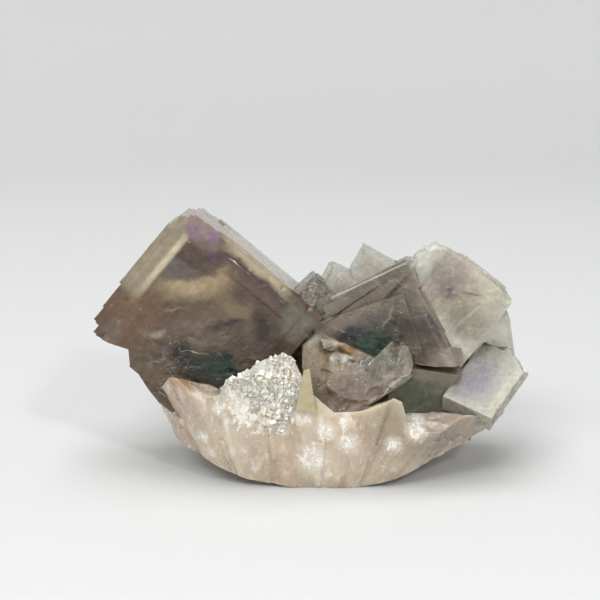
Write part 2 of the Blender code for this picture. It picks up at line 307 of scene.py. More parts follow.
def wobble(tree, place, scale, detail, amount, roughness=0.5):
    """A soft shift, as far to one side as to the other, that bends a pattern."""
    shift = noise(tree, place, scale, detail, roughness).outputs["Color"]
    shift = vectors(tree, "SUBTRACT", shift, (0.5, 0.5, 0.5))
    picks = {0: shift, "Scale": amount}
    return add_node(tree, "ShaderNodeVectorMath", picks, operation="SCALE").outputs[0]


def tilted(tree, place, angle):
    """A place turned about the axis that runs from front to back."""
    picks = {"Vector": place, "Angle": angle}
    return add_node(tree, "ShaderNodeVectorRotate", picks, rotation_type="Y_AXIS").outputs[0]


def new_group(name, inputs, outputs):
    """An empty shader node group with named sockets, and its two ends."""
    tree = bpy.data.node_groups.new(name, "ShaderNodeTree")
    for label, kind, value in inputs:
        socket = tree.interface.new_socket(name=label, in_out="INPUT", socket_type=kind)
        socket.default_value = value
    for label, kind in outputs:
        tree.interface.new_socket(name=label, in_out="OUTPUT", socket_type=kind)
    return tree, tree.nodes.new("NodeGroupInput").outputs, tree.nodes.new("NodeGroupOutput").inputs


def zone_group():
    """A soft-edged zone inside a crystal: a tilted box or ball, as a mask."""
    tree, given, result = new_group(
        "colour_zone",
        (
            ("Place", "NodeSocketVector", (0, 0, 0)),
            ("Centre", "NodeSocketVector", (0, 0, 0)),
            ("Half Size", "NodeSocketVector", (1, 1, 1)),
            ("Tilt", "NodeSocketFloat", 0.0),
            ("Softness", "NodeSocketFloat", 0.3),
            ("Squareness", "NodeSocketFloat", 0.0),
            ("Strength", "NodeSocketFloat", 1.0),
        ),
        (("Mask", "NodeSocketFloat"),),
    )
    from_centre = vectors(tree, "SUBTRACT", given["Place"], given["Centre"])
    turned = tilted(tree, from_centre, given["Tilt"])
    share = vectors(tree, "ABSOLUTE", vectors(tree, "DIVIDE", turned, given["Half Size"]))
    parts = add_node(tree, "ShaderNodeSeparateXYZ", {0: share}).outputs
    box = calc(tree, "MAXIMUM", calc(tree, "MAXIMUM", parts[0], parts[1]), parts[2])
    ball = add_node(tree, "ShaderNodeVectorMath", {0: share}, operation="LENGTH").outputs["Value"]
    both = add_node(tree, "ShaderNodeMix", {0: given["Squareness"], 2: ball, 3: box}).outputs[0]
    inner = calc(tree, "SUBTRACT", 1.0, given["Softness"])
    outer = calc(tree, "ADD", 1.0, given["Softness"])
    mask = span(tree, both, inner, outer, 1.0, 0.0, smooth=True)
    tree.links.new(calc(tree, "MULTIPLY", mask, given["Strength"]), result["Mask"])
    return tree


def wisp_group():
    """Veils and healed cracks: thin wavy lines that run along the octahedral cleavage, as a mask."""
    tree, given, result = new_group(
        "healed_cracks",
        (
            ("Place", "NodeSocketVector", (0, 0, 0)),
            ("Tilt", "NodeSocketFloat", 0.8),
            ("Scale", "NodeSocketFloat", 0.35),
            ("Stretch", "NodeSocketFloat", 6.0),
            ("Thinness", "NodeSocketFloat", 0.02),
        ),
        (("Lines", "NodeSocketFloat"), ("Cloud", "NodeSocketFloat")),
    )
    turned = tilted(tree, given["Place"], given["Tilt"])
    squeeze = add_node(tree, "ShaderNodeCombineXYZ", {0: 1.0, 1: 1.0, 2: given["Stretch"]}).outputs[0]
    bent = vectors(tree, "ADD", turned, wobble(tree, turned, 0.5, 2.0, 0.9))
    place = vectors(tree, "MULTIPLY", bent, squeeze)
    waves = noise(tree, place, given["Scale"], 2.0).outputs[0]
    crest = calc(tree, "ABSOLUTE", calc(tree, "SUBTRACT", waves, 0.5))
    lines = span(tree, crest, 0.0, given["Thinness"], 1.0, 0.0)
    breaks = span(tree, noise(tree, turned, 0.45, 3.0).outputs[0], 0.48, 0.62)
    tree.links.new(calc(tree, "MULTIPLY", lines, breaks), result["Lines"])
    cloud = span(tree, noise(tree, turned, 0.8, 5.0, 0.65, (1.0, 1.0, 2.5)).outputs[0], 0.45, 0.75)
    tree.links.new(cloud, result["Cloud"])
    return tree


def growth_group():
    """Growth layers that run parallel to the cube's faces: fine lines of tone, and a height for bump."""
    tree, given, result = new_group(
        "growth_layers",
        (
            ("Place", "NodeSocketVector", (0, 0, 0)),
            ("Half Size", "NodeSocketVector", (10, 10, 10)),
            ("Line Spacing", "NodeSocketFloat", 1.6),
        ),
        (("Tone", "NodeSocketFloat"), ("Height", "NodeSocketFloat")),
    )
    place = vectors(tree, "ADD", given["Place"], wobble(tree, given["Place"], 0.3, 2.0, 0.6))
    share = vectors(tree, "SUBTRACT", given["Half Size"], vectors(tree, "ABSOLUTE", place))
    parts = add_node(tree, "ShaderNodeSeparateXYZ", {0: share}).outputs
    depth = calc(tree, "MINIMUM", parts[0], parts[2])
    picks = {"W": depth, "Scale": given["Line Spacing"], "Detail": 1.5}
    tone = add_node(tree, "ShaderNodeTexNoise", picks, noise_dimensions="1D")
    tree.links.new(tone.outputs[0], result["Tone"])
    steps_x = add_node(tree, "ShaderNodeTexNoise", {"W": parts[0], "Scale": 1.3}, noise_dimensions="1D")
    steps_z = add_node(tree, "ShaderNodeTexNoise", {"W": parts[2], "Scale": 1.3}, noise_dimensions="1D")
    choice = span(tree, noise(tree, given["Place"], 0.35, 1.0).outputs[0], 0.45, 0.55)
    picks = {0: choice, 2: steps_x.outputs[0], 3: steps_z.outputs[0]}
    tree.links.new(add_node(tree, "ShaderNodeMix", picks).outputs[0], result["Height"])
    return tree


def facet_group():
    """Broken ground: small flat facets, each tipped its own way and a little lighter or darker."""
    tree, given, result = new_group(
        "broken_facets",
        (
            ("Place", "NodeSocketVector", (0, 0, 0)),
            ("Tilt", "NodeSocketFloat", 0.8),
            ("Stretch", "NodeSocketVector", (1, 1, 1)),
            ("Scale", "NodeSocketFloat", 0.8),
        ),
        (("Tone", "NodeSocketFloat"), ("Height", "NodeSocketFloat")),
    )
    turned = tilted(tree, given["Place"], given["Tilt"])
    bent = noise(tree, turned, 0.7, 2.0).outputs["Color"]
    bent = vectors(tree, "ADD", vectors(tree, "MULTIPLY", turned, given["Stretch"]), bent)
    cells = add_node(tree, "ShaderNodeTexVoronoi", {"Vector": bent, "Scale": given["Scale"]}).outputs
    tip = vectors(tree, "SUBTRACT", cells["Color"], (0.5, 0.5, 0.5))
    offset = vectors(tree, "SUBTRACT", bent, cells["Position"])
    height = add_node(tree, "ShaderNodeVectorMath", {0: tip, 1: offset}, operation="DOT_PRODUCT")
    tree.links.new(height.outputs["Value"], result["Height"])
    tone = add_node(tree, "ShaderNodeSeparateXYZ", {0: cells["Color"]}).outputs[0]
    tree.links.new(tone, result["Tone"])
    return tree


def crackle_group():
    """Healed cracks and grain edges in clear stone: short bright lines, and clouds of small flaws."""
    tree, given, result = new_group(
        "bright_cracks",
        (
            ("Place", "NodeSocketVector", (0, 0, 0)),
            ("Scale", "NodeSocketFloat", 0.6),
            ("Width", "NodeSocketFloat", 0.02),
            ("Cover", "NodeSocketFloat", 0.5),
        ),
        (("Lines", "NodeSocketFloat"), ("Flaws", "NodeSocketFloat")),
    )
    waves = noise(tree, given["Place"], given["Scale"], 2.5, 0.6)
    waves.inputs["Distortion"].default_value = 0.8
    crest = calc(tree, "ABSOLUTE", calc(tree, "SUBTRACT", waves.outputs[0], 0.5))
    line = calc(tree, "SUBTRACT", 1.0, calc(tree, "DIVIDE", crest, given["Width"]), clamp=True)
    low = calc(tree, "SUBTRACT", 0.72, calc(tree, "MULTIPLY", given["Cover"], 0.4))
    patch = noise(tree, given["Place"], 0.9, 2.0).outputs[0]
    patch = calc(tree, "MULTIPLY", calc(tree, "SUBTRACT", patch, low), 7.0, clamp=True)
    tree.links.new(calc(tree, "MULTIPLY", line, patch), result["Lines"])
    flaws = noise(tree, given["Place"], 1.3, 3.0, 0.65, (1.3, 1.0, 0.8)).outputs[0]
    flaws = calc(tree, "MULTIPLY", calc(tree, "SUBTRACT", flaws, low), 9.0, clamp=True)
    tree.links.new(flaws, result["Flaws"])
    return tree


ZONE = zone_group()
CRACKLE = crackle_group()
FACETS = facet_group()
WISPS = wisp_group()
GROWTH = growth_group()


class Zone:
    """A colour zone or painted highlight of a crystal: its colour, and its place and half size in the
    crystal's own mm.
    """

    def __init__(self, colour, centre, half, tilt=0.0, soft=0.35, square=0.0, strength=1.0, crisp=False):
        self.colour = paint(*colour)
        self.picks = {
            "Centre": centre,
            "Half Size": half,
            "Tilt": math.radians(tilt),
            "Softness": soft,
            "Squareness": square,
            "Strength": strength,
        }
        self.crisp = crisp


def zone_mask(tree, place, picks):
    """The mask of one zone, from the values that say where it lies and how soft it is."""
    return add_node(tree, "ShaderNodeGroup", {"Place": place, **picks}, node_tree=ZONE).outputs[0]


def fluorite(
    name,
    crystal,
    body,
    zones,
    clearness=0.5,
    wisps=0.5,
    gloss=(0.04, 0.18),
    smoke=((0.6, 0.52, 0.46, 1), 35),
    mottling=0.14,
    broken=None,
    hackly=0.15,
    cracked=0.25,
):
    """Clear fluorite with a body of two tones, its own colour zones and any painted highlights, growth lines,
    veils and cracks.
    """
    made = bpy.data.materials.new(name)
    made.use_nodes = True
    tree = made.node_tree
    shader = tree.nodes["Principled BSDF"]
    coords = add_node(tree, "ShaderNodeTexCoord").outputs["Object"]
    turn = crystal.rotation.to_euler()
    own = {"Vector": coords, "Location": crystal.centre * MM, "Rotation": turn, "Scale": (MM, MM, MM)}
    place = add_node(tree, "ShaderNodeMapping", own, vector_type="TEXTURE").outputs[0]
    warped = vectors(tree, "ADD", place, wobble(tree, place, 0.28, 4.0, 3.0, 0.6))
    tones = span(tree, noise(tree, place, 0.16, 5.0, 0.6).outputs[0], 0.35, 0.65)
    colour = blended(tree, tones, paint(*body[0]), paint(*body[1]))
    for zone in zones:
        mask = zone_mask(tree, place if zone.crisp else warped, zone.picks)
        colour = blended(tree, mask, colour, zone.colour)

    picks = {"Place": place, "Half Size": [edge / 2 for edge in crystal.size]}
    layers = add_node(tree, "ShaderNodeGroup", picks, node_tree=GROWTH)
    colour = shaded(tree, colour, span(tree, layers.outputs["Tone"], 0.3, 0.7, 0.9, 1.08))
    mottle = noise(tree, place, 0.9, 3.0, 0.6).outputs[0]
    colour = shaded(tree, colour, span(tree, mottle, 0.3, 0.7, 1 - mottling, 1 + mottling))

    picks = {"Place": place, "Stretch": (0.5, 1.0, 1.3)}
    facets = add_node(tree, "ShaderNodeGroup", picks, node_tree=FACETS)
    veils = add_node(tree, "ShaderNodeGroup", {"Place": place}, node_tree=WISPS)
    lines = calc(tree, "MULTIPLY", veils.outputs["Lines"], wisps)
    ground = hackly
    if broken:  # the zone where the crystal is broken open, which also holds most of its veils
        mask = zone_mask(tree, warped, broken)
        ground = span(tree, mask, 0.0, 1.0, hackly, 1.0)
        lines = calc(tree, "MULTIPLY", lines, calc(tree, "ADD", mask, 0.25))
    patch = span(tree, facets.outputs["Tone"], 0.0, 1.0, 0.72, 1.3)
    colour = blended(tree, ground, colour, shaded(tree, colour, patch))
    cloud = calc(tree, "MULTIPLY", veils.outputs["Cloud"], 0.35 * wisps)
    colour = blended(tree, cloud, colour, paint(196, 190, 178))
    colour = blended(tree, lines, colour, paint(226, 222, 212))
    picks = {"Place": place, "Scale": 0.55, "Width": 0.012, "Cover": cracked}
    cracks = add_node(tree, "ShaderNodeGroup", picks, node_tree=CRACKLE)
    bright = calc(tree, "MULTIPLY", cracks.outputs["Lines"], 0.7)
    colour = blended(tree, bright, colour, paint(232, 228, 218))
    flaws = calc(tree, "MULTIPLY", cracks.outputs["Flaws"], calc(tree, "MULTIPLY", ground, 0.3))
    colour = blended(tree, flaws, colour, paint(214, 206, 192))
    tree.links.new(colour, shader.inputs["Base Color"])

    grain = noise(tree, place, 0.8, 3.0, 0.6).outputs[0]
    rough = span(tree, grain, 0.3, 0.7, *gloss)
    rough = calc(tree, "ADD", rough, calc(tree, "MULTIPLY", lines, 0.2))
    tree.links.new(rough, shader.inputs["Roughness"])
    height = calc(tree, "ADD", layers.outputs["Height"], calc(tree, "MULTIPLY", grain, 0.35))
    height = calc(tree, "ADD", height, calc(tree, "MULTIPLY", lines, 0.3))
    chips = calc(tree, "MULTIPLY", calc(tree, "MULTIPLY", facets.outputs["Height"], ground), 6.0)
    height = calc(tree, "ADD", height, chips)
    bump = add_node(tree, "ShaderNodeBump", {"Height": height, "Strength": 0.4, "Distance": 0.1 * MM})
    tree.links.new(bump.outputs[0], shader.inputs["Normal"])

    shader.inputs["IOR"].default_value = 1.434
    shader.inputs["Transmission Weight"].default_value = clearness
    shader.inputs["Subsurface Weight"].default_value = 0.45
    shader.inputs["Subsurface Radius"].default_value = (1.0, 0.9, 0.8)
    shader.inputs["Subsurface Scale"].default_value = 2.5 * MM
    absorption = add_node(tree, "ShaderNodeVolumeAbsorption", {"Color": smoke[0], "Density": smoke[1]})
    tree.links.new(absorption.outputs[0], tree.nodes["Material Output"].inputs["Volume"])
    return made


LEFT_CUBE = Crystal(at=(-15.0, -6.0, 36.8), size=(21.5, 19.5, 22.4), lean=6, spin=40)
DEEP = 20  # a zone this deep runs right through the crystal
VIOLET = (144, 118, 142)
left_zones = (
    Zone((116, 88, 64), (-10.4, 0, -5.1), (4.2, DEEP, 5.6), soft=0.5),  # the warm brown lower left
    Zone((132, 116, 90), (0.5, 0, 5.0), (4.8, DEEP, 2.1), soft=0.6),  # the clearer middle
    Zone((192, 172, 138), (-6.2, 0, 3.4), (4.2, DEEP, 1.7), tilt=48, soft=0.8),  # a tan veil across it
    Zone((182, 158, 122), (-3.9, 0, 6.4), (0.9, DEEP, 2.2), soft=0.9, strength=0.8),
    Zone((100, 92, 88), (-8.4, 0, 4.7), (3.1, DEEP, 1.6), tilt=48, soft=0.3, square=0.6),  # the grey pane
    Zone((106, 88, 76), (2.5, 0, 8.2), (6.0, DEEP, 1.9), soft=0.4),  # the dark chevron
    Zone((90, 72, 65), (-7.9, 0, 6.9), (3.4, DEEP, 0.75), soft=0.4),
    Zone((90, 74, 70), (1.0, 0, 9.9), (6.2, DEEP, 1.1), soft=0.4),
    Zone((82, 64, 74), (-6.6, 0, 8.7), (2.3, DEEP, 1.1), soft=0.5),
    Zone((82, 62, 56), (-7.6, 0, 5.9), (3.4, DEEP, 0.6), tilt=8, soft=0.6),
    Zone((84, 62, 50), (3.0, 0, 7.8), (4.8, DEEP, 0.2), soft=0.6, square=0.5, crisp=True),
    Zone((50, 36, 36), (4.9, 0, 5.0), (3.2, DEEP, 1.4), tilt=-50, soft=0.6),
    Zone((84, 68, 60), (-0.2, 0, 6.6), (1.8, DEEP, 1.2), tilt=45, soft=0.6),
    Zone((126, 120, 104), (8.2, 0, 9.4), (2.6, DEEP, 3.4), soft=0.3),
    Zone((118, 100, 84), (-1.7, 0, -0.2), (4.6, DEEP, 1.6), tilt=45, soft=0.5),  # above the heart
    Zone((62, 52, 46), (1.2, 0, 2.2), (3.2, DEEP, 0.8), tilt=45, soft=0.5),
    Zone((86, 71, 64), (6.9, 0, 2.2), (3.8, DEEP, 1.6), tilt=30, soft=0.5),
    Zone((90, 74, 66), (-2.9, 0, -6.2), (2.2, DEEP, 1.6), soft=0.5),
    Zone((20, 15, 15), (-1.2, 0, -4.6), (2.0, DEEP, 1.4), soft=0.35),
    Zone((31, 39, 36), (3.4, 0, -4.6), (4.6, DEEP, 3.0), tilt=30, soft=0.3),  # the green heart
    Zone((19, 47, 38), (4.2, 0, -2.6), (3.0, DEEP, 2.0), soft=0.45),
    Zone((18, 54, 43), (4.4, 0, -2.2), (1.6, DEEP, 1.1), soft=0.7, strength=0.8),
    Zone((150, 142, 130), (-6.1, 0, -5.5), (1.9, DEEP, 0.45), tilt=30, soft=0.6, strength=0.6),
    Zone((204, 198, 188), (0.4, 0, -3.4), (1.6, DEEP, 0.1), tilt=35, soft=0.6, strength=0.8),
    Zone((172, 160, 142), (-5.6, 0, -5.0), (1.1, DEEP, 0.35), tilt=70, soft=0.8, strength=0.7),
    Zone((156, 134, 108), (-6.3, 0, -1.6), (1.7, DEEP, 0.2), tilt=52, soft=0.8, strength=0.8),
    Zone((148, 136, 120), (-0.9, 0, -2.4), (1.4, DEEP, 0.3), tilt=30, soft=0.8, strength=0.7),
    Zone((128, 109, 94), (-10.6, 0, -8.9), (1.6, DEEP, 1.9), soft=0.4),
    Zone((158, 147, 126), (-13.1, 0, 4.4), (1.3, DEEP, 7.4), soft=0.15, square=1, crisp=True),  # left rim
    Zone((218, 208, 178), (-11.3, 0, 3.6), (0.5, DEEP, 5.7), soft=0.6, square=0.7, crisp=True),
    Zone((176, 160, 128), (0, 0, 12.1), (12, DEEP, 1.0), soft=0.1, square=1, crisp=True),  # upper right rim
    Zone((190, 178, 150), (-0.6, 0, 11.4), (5.4, DEEP, 1.2), soft=0.35, square=0.8),
    Zone((112, 92, 78), (8.0, 0, 11.6), (3.8, DEEP, 1.4), soft=0.3),
    Zone((160, 136, 132), (-10.0, 0, 10.2), (3.0, DEEP, 2.0), soft=0.5),  # the violet top corner
    Zone(VIOLET, (-11.2, -9.7, 9.4), (1.3, 5, 1.0), soft=0.6),
    Zone(VIOLET, (-8.2, -9.7, 10.9), (0.9, 2, 0.8), soft=0.6),
)
OUTER_PLATES = (  # how far each reaches out, how near it comes to the front, and its lower and upper ends
    (12.2, 9.74, -11.0, 11.3),
    (12.7, 9.70, -10.7, 10.9),
    (13.3, 9.62, -9.5, 10.2),
    (13.8, 9.55, -9.3, 9.9),
    (14.0, 9.45, -7.1, 8.6),
    (14.35, 9.30, -3.0, 7.9),
)
PLATE_ROOT = 8.0  # how far out from the middle the outer plates are rooted
PLATE_BACK = 9.7  # and how far back they run
LOWER_NOTCH = (  # across and up, from the middle
    (-12.4, -11.5),
    (-7.3, -9.4),
    (-5.7, -11.0),
    (-5.3, -13.0),
    (-12.0, -13.0),
)
LOWER_FOOT = (  # the part that reaches down into the quartz
    (-5.4, -10.8),
    (-3.5, -11.5),
    (-1.1, -12.2),
    (0.8, -12.6),
    (4.0, -12.4),
    (5.0, -10.0),
    (-4.6, -9.8),
)
NICKS = 26
NICKED_EDGES = (  # in half edges from the middle, with None for the way that the edge runs
    (-1.28, None, 0.8),
    (-1.33, -1, None),
    (None, -1, 1),
    (None, 1, 1),
    (-1.33, 1, None),
)


def slab(crystal, outline, near, far, shrink=1.0):
    """The corners of a solid with an outline across and up a crystal, from near its front to far back."""
    corners = [crystal.point((across, near, up)) for across, up in outline]
    return corners + [crystal.point((across * shrink, far, up * shrink)) for across, up in outline]


left_break = {
    "Centre": (3.0, 0, -5.0),
    "Half Size": (11, DEEP, 6.4),
    "Tilt": math.radians(45),
    "Softness": 0.3,
    "Squareness": 0.0,
    "Strength": 1.0,
}
left_look = fluorite(
    "smoky_left_fluorite",
    LEFT_CUBE,
    ((106, 90, 70), (86, 72, 56)),
    left_zones,
    wisps=0.3,
    broken=left_break,
    hackly=0.22,
)

rng = random.Random(31)
solid = bmesh.new()
cutter = bmesh.new()
add_block(solid, LEFT_CUBE)
for reach, near, low, high in OUTER_PLATES:
    middle = (-(reach + PLATE_ROOT) / 2, (PLATE_BACK - near) / 2, (low + high) / 2)
    add_box(solid, LEFT_CUBE, middle, (reach - PLATE_ROOT, PLATE_BACK + near, high - low))
left_foot = slab(LEFT_CUBE, LOWER_FOOT, -9.5, 0.0, 0.95)
add_hull(solid, left_foot)
add_hull(cutter, slab(LEFT_CUBE, LOWER_NOTCH, -13.0, 5.0, 1.04))
add_terraces(solid, LEFT_CUBE, TOP_RIGHT_FACE, 5, (0.10, 0.22), rng)
add_terraces(solid, LEFT_CUBE, FRONT_FACE, 4, (0.03, 0.07), rng)
add_terraces(solid, LEFT_CUBE, BACK_FACE, 6, (0.06, 0.2), rng)
add_terraces(solid, LEFT_CUBE, LOW_LEFT_FACE, 3, (0.04, 0.1), rng)
add_edge_plates(solid, LEFT_CUBE, TOP_LEFT_FACE, 9, (0.2, 0.55), rng)
add_edge_plates(solid, LEFT_CUBE, TOP_RIGHT_FACE, 9, (0.2, 0.5), rng)
add_edge_plates(solid, LEFT_CUBE, BACK_FACE, 8, (0.1, 0.3), rng)
add_cleavage_cut(cutter, LEFT_CUBE, (-1, -1, -1), 0.9, 3.0)
add_cleavage_cut(cutter, LEFT_CUBE, (-1, 1, -1), 1.4, 4.0)
add_cleavage_cut(cutter, LEFT_CUBE, (-1, 1, 1), 0.7, 3.0)
for _ in range(NICKS):
    fractions = [rng.uniform(-0.8, 0.8) if part is None else part for part in rng.choice(NICKED_EDGES)]
    add_cleavage_cut(cutter, LEFT_CUBE, fractions, rng.uniform(0.1, 0.32), rng.uniform(0.6, 1.4), rng)
left_cube = fused("left_fluorite_cube", solid, cutter, [left_look])
roughen(left_cube.data, 0.9, 0.05, 2.2)
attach(left_cube, "root")
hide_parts("left_fluorite_crystal")

# ------------------------------------------------------------------------------------------------
# The right-hand group: a dozen fluorite cubes grown through each other, smoky in front and pale behind.
# Each has its own zoning, so each has its own colours, but the group is one piece with no gaps in it.
# A broken cleavage piece fills the front of the saddle, and a lilac plate leans out at the lower right.

SMOKY, SADDLE, PALE, UPPER, FAR, PLATE, GREEN, PIECE = range(8)  # the number of each look
RIGHT_CRYSTALS = {
    "smoky cube": Crystal((14.6, -6.0, 28.3), (16.2, 15.0, 16.4), lean=-3, spin=62, skin=SMOKY),
    "smoky front plate": Crystal((13.0, -6.9, 26.6), (9.5, 3.0, 13.5), lean=-3, spin=71, skin=SMOKY),
    "saddle cube": Crystal((0.0, -5.0, 28.4), (6.5, 8.0, 6.5), lean=4, spin=46, skin=SADDLE),
    "pale saddle cube": Crystal((3.4, -1.0, 28.9), (8.0, 9.0, 8.0), lean=2, spin=27, skin=PALE),
    "pale back cube": Crystal((8.2, 2.0, 31.0), (9.5, 9.0, 9.5), lean=2, spin=29, skin=PALE),
    "upper right cube": Crystal((20.0, -3.0, 32.1), (11.4, 14.0, 14.6), lean=8, spin=38, skin=UPPER),
    "upper right step": Crystal((18.6, -2.7, 32.9), (9.0, 11.2, 8.0), lean=7, spin=57, skin=UPPER),
    "far right cube": Crystal((27.4, 0.4, 22.6), (9.6, 10.1, 12.0), lean=4, spin=72, skin=FAR),
    "green cube": Crystal((11.6, -8.6, 16.6), (12.7, 13.1, 9.6), lean=-6, spin=8, skin=GREEN),
    "back saddle cube": Crystal(
        (-1.0, 13.4, 24.6), (9.5, 9.0, 9.0), lean=-4, turn=6, spin=52, corner=(-1, 1, 1), skin=SADDLE
    ),
    "back right cube": Crystal(
        (22.5, 13.6, 22.0), (9.0, 8.0, 9.5), lean=6, turn=-8, spin=30, corner=(-1, 1, 1), skin=FAR
    ),
    "tilted plate": Crystal(
        (18.6, -9.6, 12.6), (7.6, 2.8, 12.0), lean=55, spin=32, corner=(-1, -1, -1), skin=PLATE
    ),
}
CLEAVAGE_PIECE = (  # its corners: along the crest from left to right, then the front, the foot and the back
    (-1.2, -7.0, 19.4),
    (1.0, -6.0, 21.2),
    (2.8, -8.5, 20.6),
    (7.0, -7.0, 17.9),
    (10.5, -8.5, 16.6),
    (13.6, -8.0, 15.7),
    (14.3, -9.6, 15.6),
    (13.4, -9.8, 14.6),
    (2.6, -11.8, 16.6),
    (9.8, -11.6, 15.6),
    (7.0, -11.8, 11.2),
    (4.0, -11.6, 8.9),
    (0.2, -10.6, 10.6),
    (-1.2, -9.4, 14.6),
    (5.0, -3.0, 12.0),
    (12.0, -3.0, 13.0),
)
UPPER_RIM = (  # across and up, round the worn outline of the pale upper right crystal
    (14.2, 30.0),
    (14.9, 31.5),
    (16.2, 32.6),
    (17.5, 33.0),
    (19.3, 32.8),
    (20.7, 32.0),
    (22.0, 31.1),
    (24.0, 29.6),
    (26.0, 28.0),
    (27.9, 26.2),
    (28.8, 25.2),
    (28.8, 24.2),
    (28.1, 23.0),
    (22.0, 20.0),
    (16.0, 24.0),
)
UPPER_MIDDLE = Vector((21.0, 0.0, 27.0))
UPPER_RINGS = (  # how far back each copy of the rim lies, its share of the full width, and its lift
    (-3.5, 0.9, 0),
    (-2.8, 0.97, 0),
    (-1.8, 1.0, 0),
    (6.0, 0.93, -1.5),
)
BROWN_LIP = (  # a thin flake that sticks out under the smoky cube, with a sharp lower edge
    (14.6, -8.6, 17.0),
    (17.6, -8.9, 16.6),
    (20.4, -9.2, 16.7),
    (21.6, -8.8, 17.4),
    (21.4, -6.0, 18.6),
    (18.0, -5.0, 18.8),
    (14.8, -5.0, 18.6),
    (16.0, -3.0, 16.2),
    (21.0, -3.0, 16.4),
)
FAR_FILLING = (  # pale fluorite between the far cube, the upper cube and the plate
    (20.4, -4.6, 21.5),
    (24.0, -4.2, 24.5),
    (28.0, -3.4, 23.6),
    (28.6, -2.8, 22.2),
    (28.9, -1.6, 20.0),
    (29.4, 0.2, 17.4),
    (30.0, 1.4, 15.6),
    (24.6, -1.4, 17.6),
    (20.0, -4.4, 16.4),
    (22.0, 4.0, 23.0),
    (27.8, 6.0, 23.0),
    (29.0, 6.0, 17.0),
    (29.0, 4.0, 15.0),
    (21.0, 4.0, 15.0),
)
SMOKY_LAYERS = (  # how far out each reaches in front, and its lower and upper ends
    (9.7, -6.2, 8.3),
    (10.8, -5.0, 8.4),
    (11.6, -3.4, 8.5),
)
LAYER_FRONT = -7.44
LAYER_BACK = 7.2
LAYER_ROOT = -7.0
LAYER_BACK_REACH = -8.1
STRIAE = 10  # fine ridges down the front of the pale saddle cube
STRIA_SIZE = (0.3, 0.45, 4.2)
RUBBLE = 9  # small crystals in the saddle
PIECE_CUTS = (  # where each cleavage cut of the broken piece lies, its depth and its radius
    ((0.62, -1, 0.62), 1.2, 4.0),
    ((-0.3, -1, 0.55), 1.0, 3.0),
    ((-0.6, -1, 0.2), 0.8, 2.6),
)
PIECE_BREAKS = 22
PIECE_FLAKES = (  # two flakes that stand a little proud of it: the stained rim and the glassy end
    (
        (1.4, -9.6, 20.9),
        (4.8, -9.9, 20.2),
        (7.8, -9.4, 18.3),
        (6.9, -10.4, 17.5),
        (4.4, -11.0, 18.8),
        (1.8, -10.8, 19.8),
        (4.0, -6.0, 19.0),
    ),
    (
        (9.0, -9.8, 18.3),
        (11.3, -9.0, 20.3),
        (13.7, -8.6, 19.4),
        (14.4, -9.0, 17.1),
        (13.9, -9.8, 15.4),
        (11.6, -10.9, 14.0),
        (9.1, -11.5, 15.1),
        (7.6, -11.2, 17.1),
        (10.0, -5.0, 17.0),
    ),
)
smoky, saddle = RIGHT_CRYSTALS["smoky cube"], RIGHT_CRYSTALS["saddle cube"]
upper, far = RIGHT_CRYSTALS["upper right cube"], RIGHT_CRYSTALS["far right cube"]
plate, green = RIGHT_CRYSTALS["tilted plate"], RIGHT_CRYSTALS["green cube"]
pale_saddle, pale_back = RIGHT_CRYSTALS["pale saddle cube"], RIGHT_CRYSTALS["pale back cube"]
piece = Crystal((-1.2, -11.8, 21.2), (15.5, 8.8, 12.3), spin=0, skin=PIECE)

